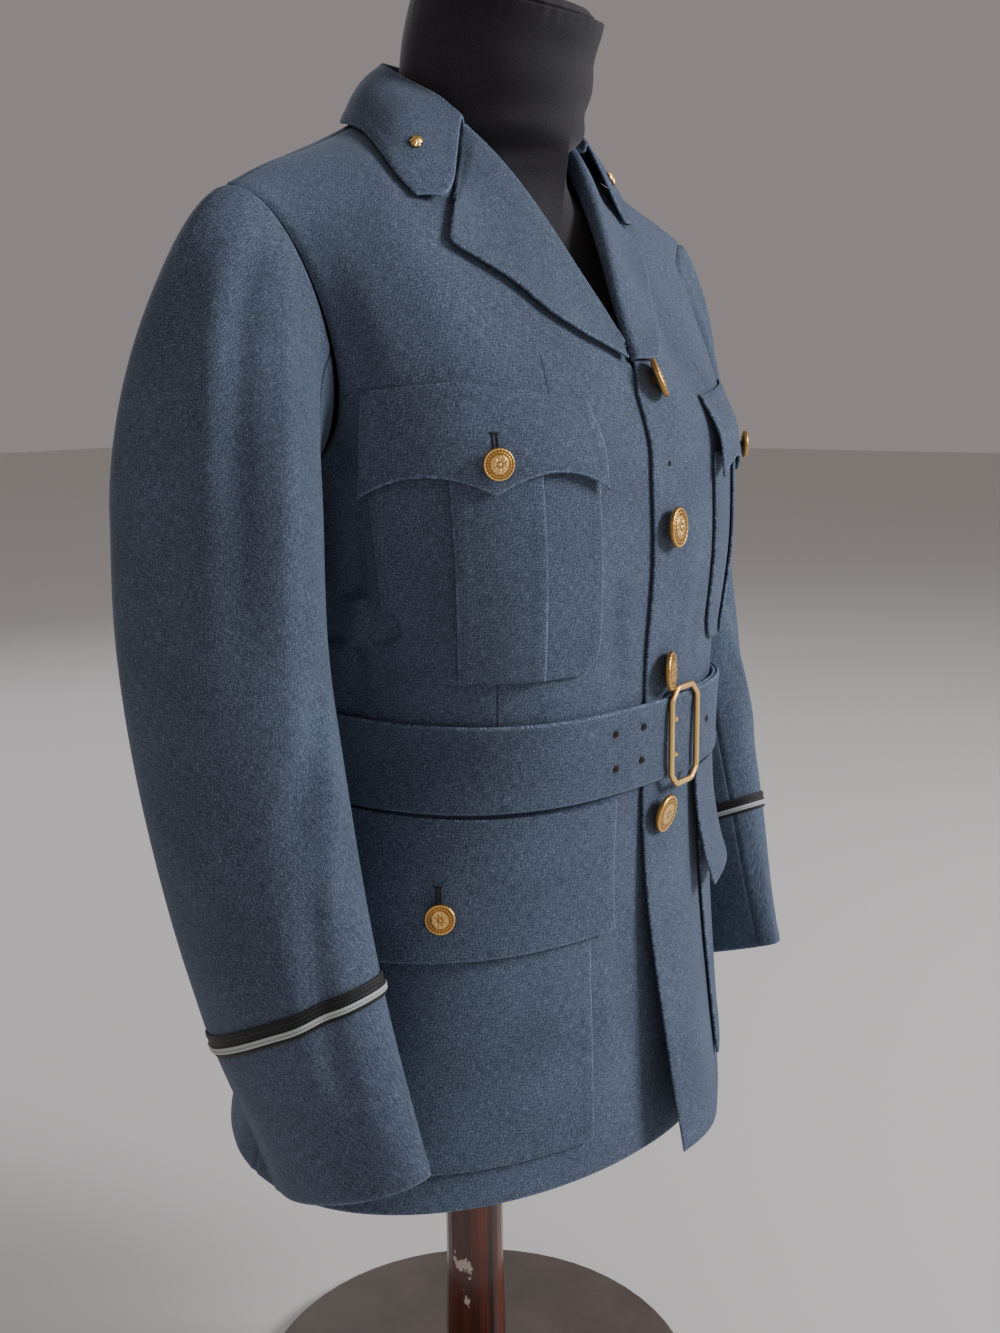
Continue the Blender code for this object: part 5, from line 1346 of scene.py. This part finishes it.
faces = np.stack([at, next_col, np.roll(next_col, -1, 0), next_row], -1).reshape(-1, 4).tolist()
buckle = mesh_object("buckle_frame_gilt", points.reshape(-1, 3), faces, cast)
# The side of the wire that faces the belt is painted dark as shade, fading to bright gilt on the outer
# side.
belt_side_shade = np.repeat((0.5 - 0.5 * np.sin(turns))[None, :], len(line), 0)
mark(buckle, "dirt_and_shade", belt_side_shade.ravel())
wear(buckle, "buckle_frame", "gilt")


def finish_solid(name, material):
    """Give a solid that shows as it is its material."""
    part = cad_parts[name]
    part.data.materials.clear()
    part.data.materials.append(material)


for name in ("buckle_prong_upper", "buckle_prong_lower"):
    finish_solid(name, cast)


# Dress form.
# A padded form under one skin of charcoal cotton jersey, stretched smooth and drawn in by tiny
# gathers at the rim of its neck, and a flat covered cap.
# Height, half width, front, back, widest at, roundness
FORM_RINGS = np.array([
    (345, 150, -118, 92, -20, 2.1), (420, 152, -128, 100, -20, 2.2), (523, 134, -134, 94, -20, 2.5),
    (640, 148, -140, 98, -20, 2.5), (700, 158, -138, 103, -20, 2.4), (745, 170, -128, 105, -18, 2.2),
    (785, 182, -104, 100, -18, 1.95), (815, 188, -84, 90, -20, 1.7), (838, 174, -79, 78, -20, 1.35),
    (856, 140, -81, 62, -20, 1.0), (869.5, 94, -83, 50, -14, 1.0), (885.5, 68, -85, 40, -14, 1.15),
    (897, 59, -87, 33, -26, 1.8), (908, 58, -88, 32, -22, 1.85), (922, 60, -90, 32, -29, 2.0),
    (946, 60.5, -92, 29, -31, 2.0), (975, 58.5, -99, 17, -41, 2.0)], float)
NECK_TILT = 0.28


def form_at(turn, z):
    """Points round the form. Its neck is smooth through the rings, its body straight between
    them, and its top leans forward."""
    half, front, back, widest, power = np.moveaxis(smooth_at(FORM_RINGS, z), -1, 0)
    straight = [np.interp(z, FORM_RINGS[:, 0], FORM_RINGS[:, k]) for k in range(1, 6)]
    neck = ease((z - 870) / 25)
    half, front, back, widest, power = [a * neck + b * (1 - neck)
                                        for a, b in zip((half, front, back, widest, power), straight)]
    s, c = np.sin(turn), np.cos(turn)
    y = widest + np.where(c > 0, front - widest, back - widest) * np.abs(c) ** (2 / power)
    return np.stack([half * np.sign(s) * np.abs(s) ** (2 / power), y,
                     z + NECK_TILT * (y - widest) * ease((z - 930) / 45)], -1)


jersey, tree, shader = new_material("charcoal_cotton_jersey", 0.85, Sheen_Weight=0.12, Sheen_Roughness=0.5,
                                    Specular_IOR_Level=0.3)
place = node(tree, "Attribute", {"attribute_name": "cut"}).outputs["Vector"]
# Knit columns of 1.3 mm; the real jersey has about 0.7 mm, too fine to show
wale = node(tree, "Math", {"operation": "SINE"}, (node(
    tree, "VectorMath", {"operation": "DOT_PRODUCT"}, (place, (4.8, 0.0, 0.0))).outputs["Value"],))
lint = node(tree, "TexNoise", Vector=place, Scale=0.9, Detail=3.0, Roughness=0.6)
patch = node(tree, "TexNoise", Vector=place, Scale=0.02, Detail=2.0)
blend = node(tree, "Math", {"operation": "MULTIPLY_ADD"}, (wale.outputs[0], 0.08, lint.outputs["Fac"]))
mix = node(tree, "Math", {"operation": "MULTIPLY_ADD"}, (patch.outputs["Fac"], 0.5, blend.outputs[0]))
shade = node(tree, "ValToRGB", Fac=mix.outputs[0], stops=((0.5, "#1b1a1f"), (1.0, "#34323a")))
tree.links.new(shade.outputs["Color"], shader.inputs["Base Color"])
bump = node(tree, "Bump", Height=blend.outputs[0], Strength=0.3, Distance=0.0003)
tree.links.new(bump.outputs["Normal"], shader.inputs["Normal"])

turn = np.linspace(0, 2 * math.pi, 144, endpoint=False)[None, :]
levels = np.r_[np.linspace(345, 865, 66), np.linspace(869.5, 975, 62)[1:]][:, None]
skin = form_at(turn + 0 * levels, levels + 0 * turn)
axis_line = np.array([0, -28.0, 0])
out = unit((skin - axis_line) * np.array([1, 1, 0]))
rim = ease((levels - 955) / 20)
gathers = 0.5 * np.sin(turn * 41) * np.abs(np.sin(turn * 5.5 + 1)) * rim
creases = (0.25 * np.exp(-((levels - 905 - 9 * np.sin(turn + 2)) / 4.0) ** 2)
           + 0.2 * np.exp(-((levels - 925 - 12 * np.sin(turn + 1.2)) / 3.5) ** 2))
creases = creases * (0.5 + 0.5 * np.cos(turn - 0.6))
skin = skin - out * (creases - gathers)[..., None]
rows, cols = skin.shape[:2]
points = np.r_[skin.reshape(-1, 3), [skin[0].mean(0), skin[-1].mean(0)]]
form = mesh_object("dress_form_jersey", points, ring_faces(rows, cols, True), jersey)
NECK_R = 62.0
cut = np.stack([np.broadcast_to(turn * NECK_R, (rows, cols)), levels + 0 * turn], -1).reshape(-1, 2)
mark(form, "cut", np.r_[cut, [[0, 0], [0, 0]]])
wear(form, "dress_form", "form")
finish_solid("neck_cap", jersey)


# Stand.
# A turned wooden pole stained red-brown under old varnish, chipped to white filler near its
# foot, on a round painted base whose rim is rubbed.
wood, tree, shader = new_material("varnished_turned_pole", 0.28, Coat_Weight=0.5, Coat_Roughness=0.12)
place = node(tree, "TexCoord").outputs["Object"]
grain = node(tree, "TexNoise", Vector=node(
    tree, "VectorMath", {"operation": "MULTIPLY"}, (place, (90.0, 90.0, 5.0))).outputs[0],
    Scale=1.0, Detail=4.0)
stain = node(tree, "ValToRGB", Fac=grain.outputs["Fac"],
             stops=((0.35, "#2c110b"), (0.68, "#6b3424")))
chip = node(tree, "TexNoise", Vector=node(
    tree, "VectorMath", {"operation": "MULTIPLY"}, (place, (70.0, 70.0, 38.0))).outputs[0],
    Scale=1.0, Detail=5.0, Roughness=0.6)
knock = node(tree, "VectorMath", {"operation": "DISTANCE"}, (place, (-0.0177, -0.0115, 0.118)))
near = node(tree, "MapRange", Value=knock.outputs["Value"], **{
    "From Min": 0.004, "From Max": 0.022, "To Min": 0.11, "To Max": 0.0})
chipped = node(tree, "Math", {"operation": "ADD"}, (chip.outputs["Fac"], near.outputs[0]))
lost = node(tree, "MapRange", Value=chipped.outputs[0], From_Min=0.672, From_Max=0.684)
tone = node(tree, "Mix", {"data_type": "RGBA"}, Factor=lost.outputs[0], A=stain.outputs["Color"],
            B=colour("#cfc4b8"))
tree.links.new(tone.outputs["Result"], shader.inputs["Base Color"])
bump = node(tree, "Bump", Height=grain.outputs["Fac"], Strength=0.15, Distance=0.0006)
tree.links.new(bump.outputs["Normal"], shader.inputs["Normal"])
finish_solid("pole", wood)

paint, tree, shader = new_material("painted_base_plate", 0.5)
place = node(tree, "TexCoord").outputs["Object"]
scuff = node(tree, "TexNoise", Vector=place, Scale=22.0, Detail=5.0, Roughness=0.6)
shade = node(tree, "ValToRGB", Fac=scuff.outputs["Fac"],
             stops=((0.3, "#4e443d"), (0.75, "#625850")))
tree.links.new(shade.outputs["Color"], shader.inputs["Base Color"])
rough = node(tree, "MapRange", Value=scuff.outputs["Fac"], To_Min=0.38, To_Max=0.62)
tree.links.new(rough.outputs[0], shader.inputs["Roughness"])
finish_solid("base_plate", paint)


# Closing.
low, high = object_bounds()
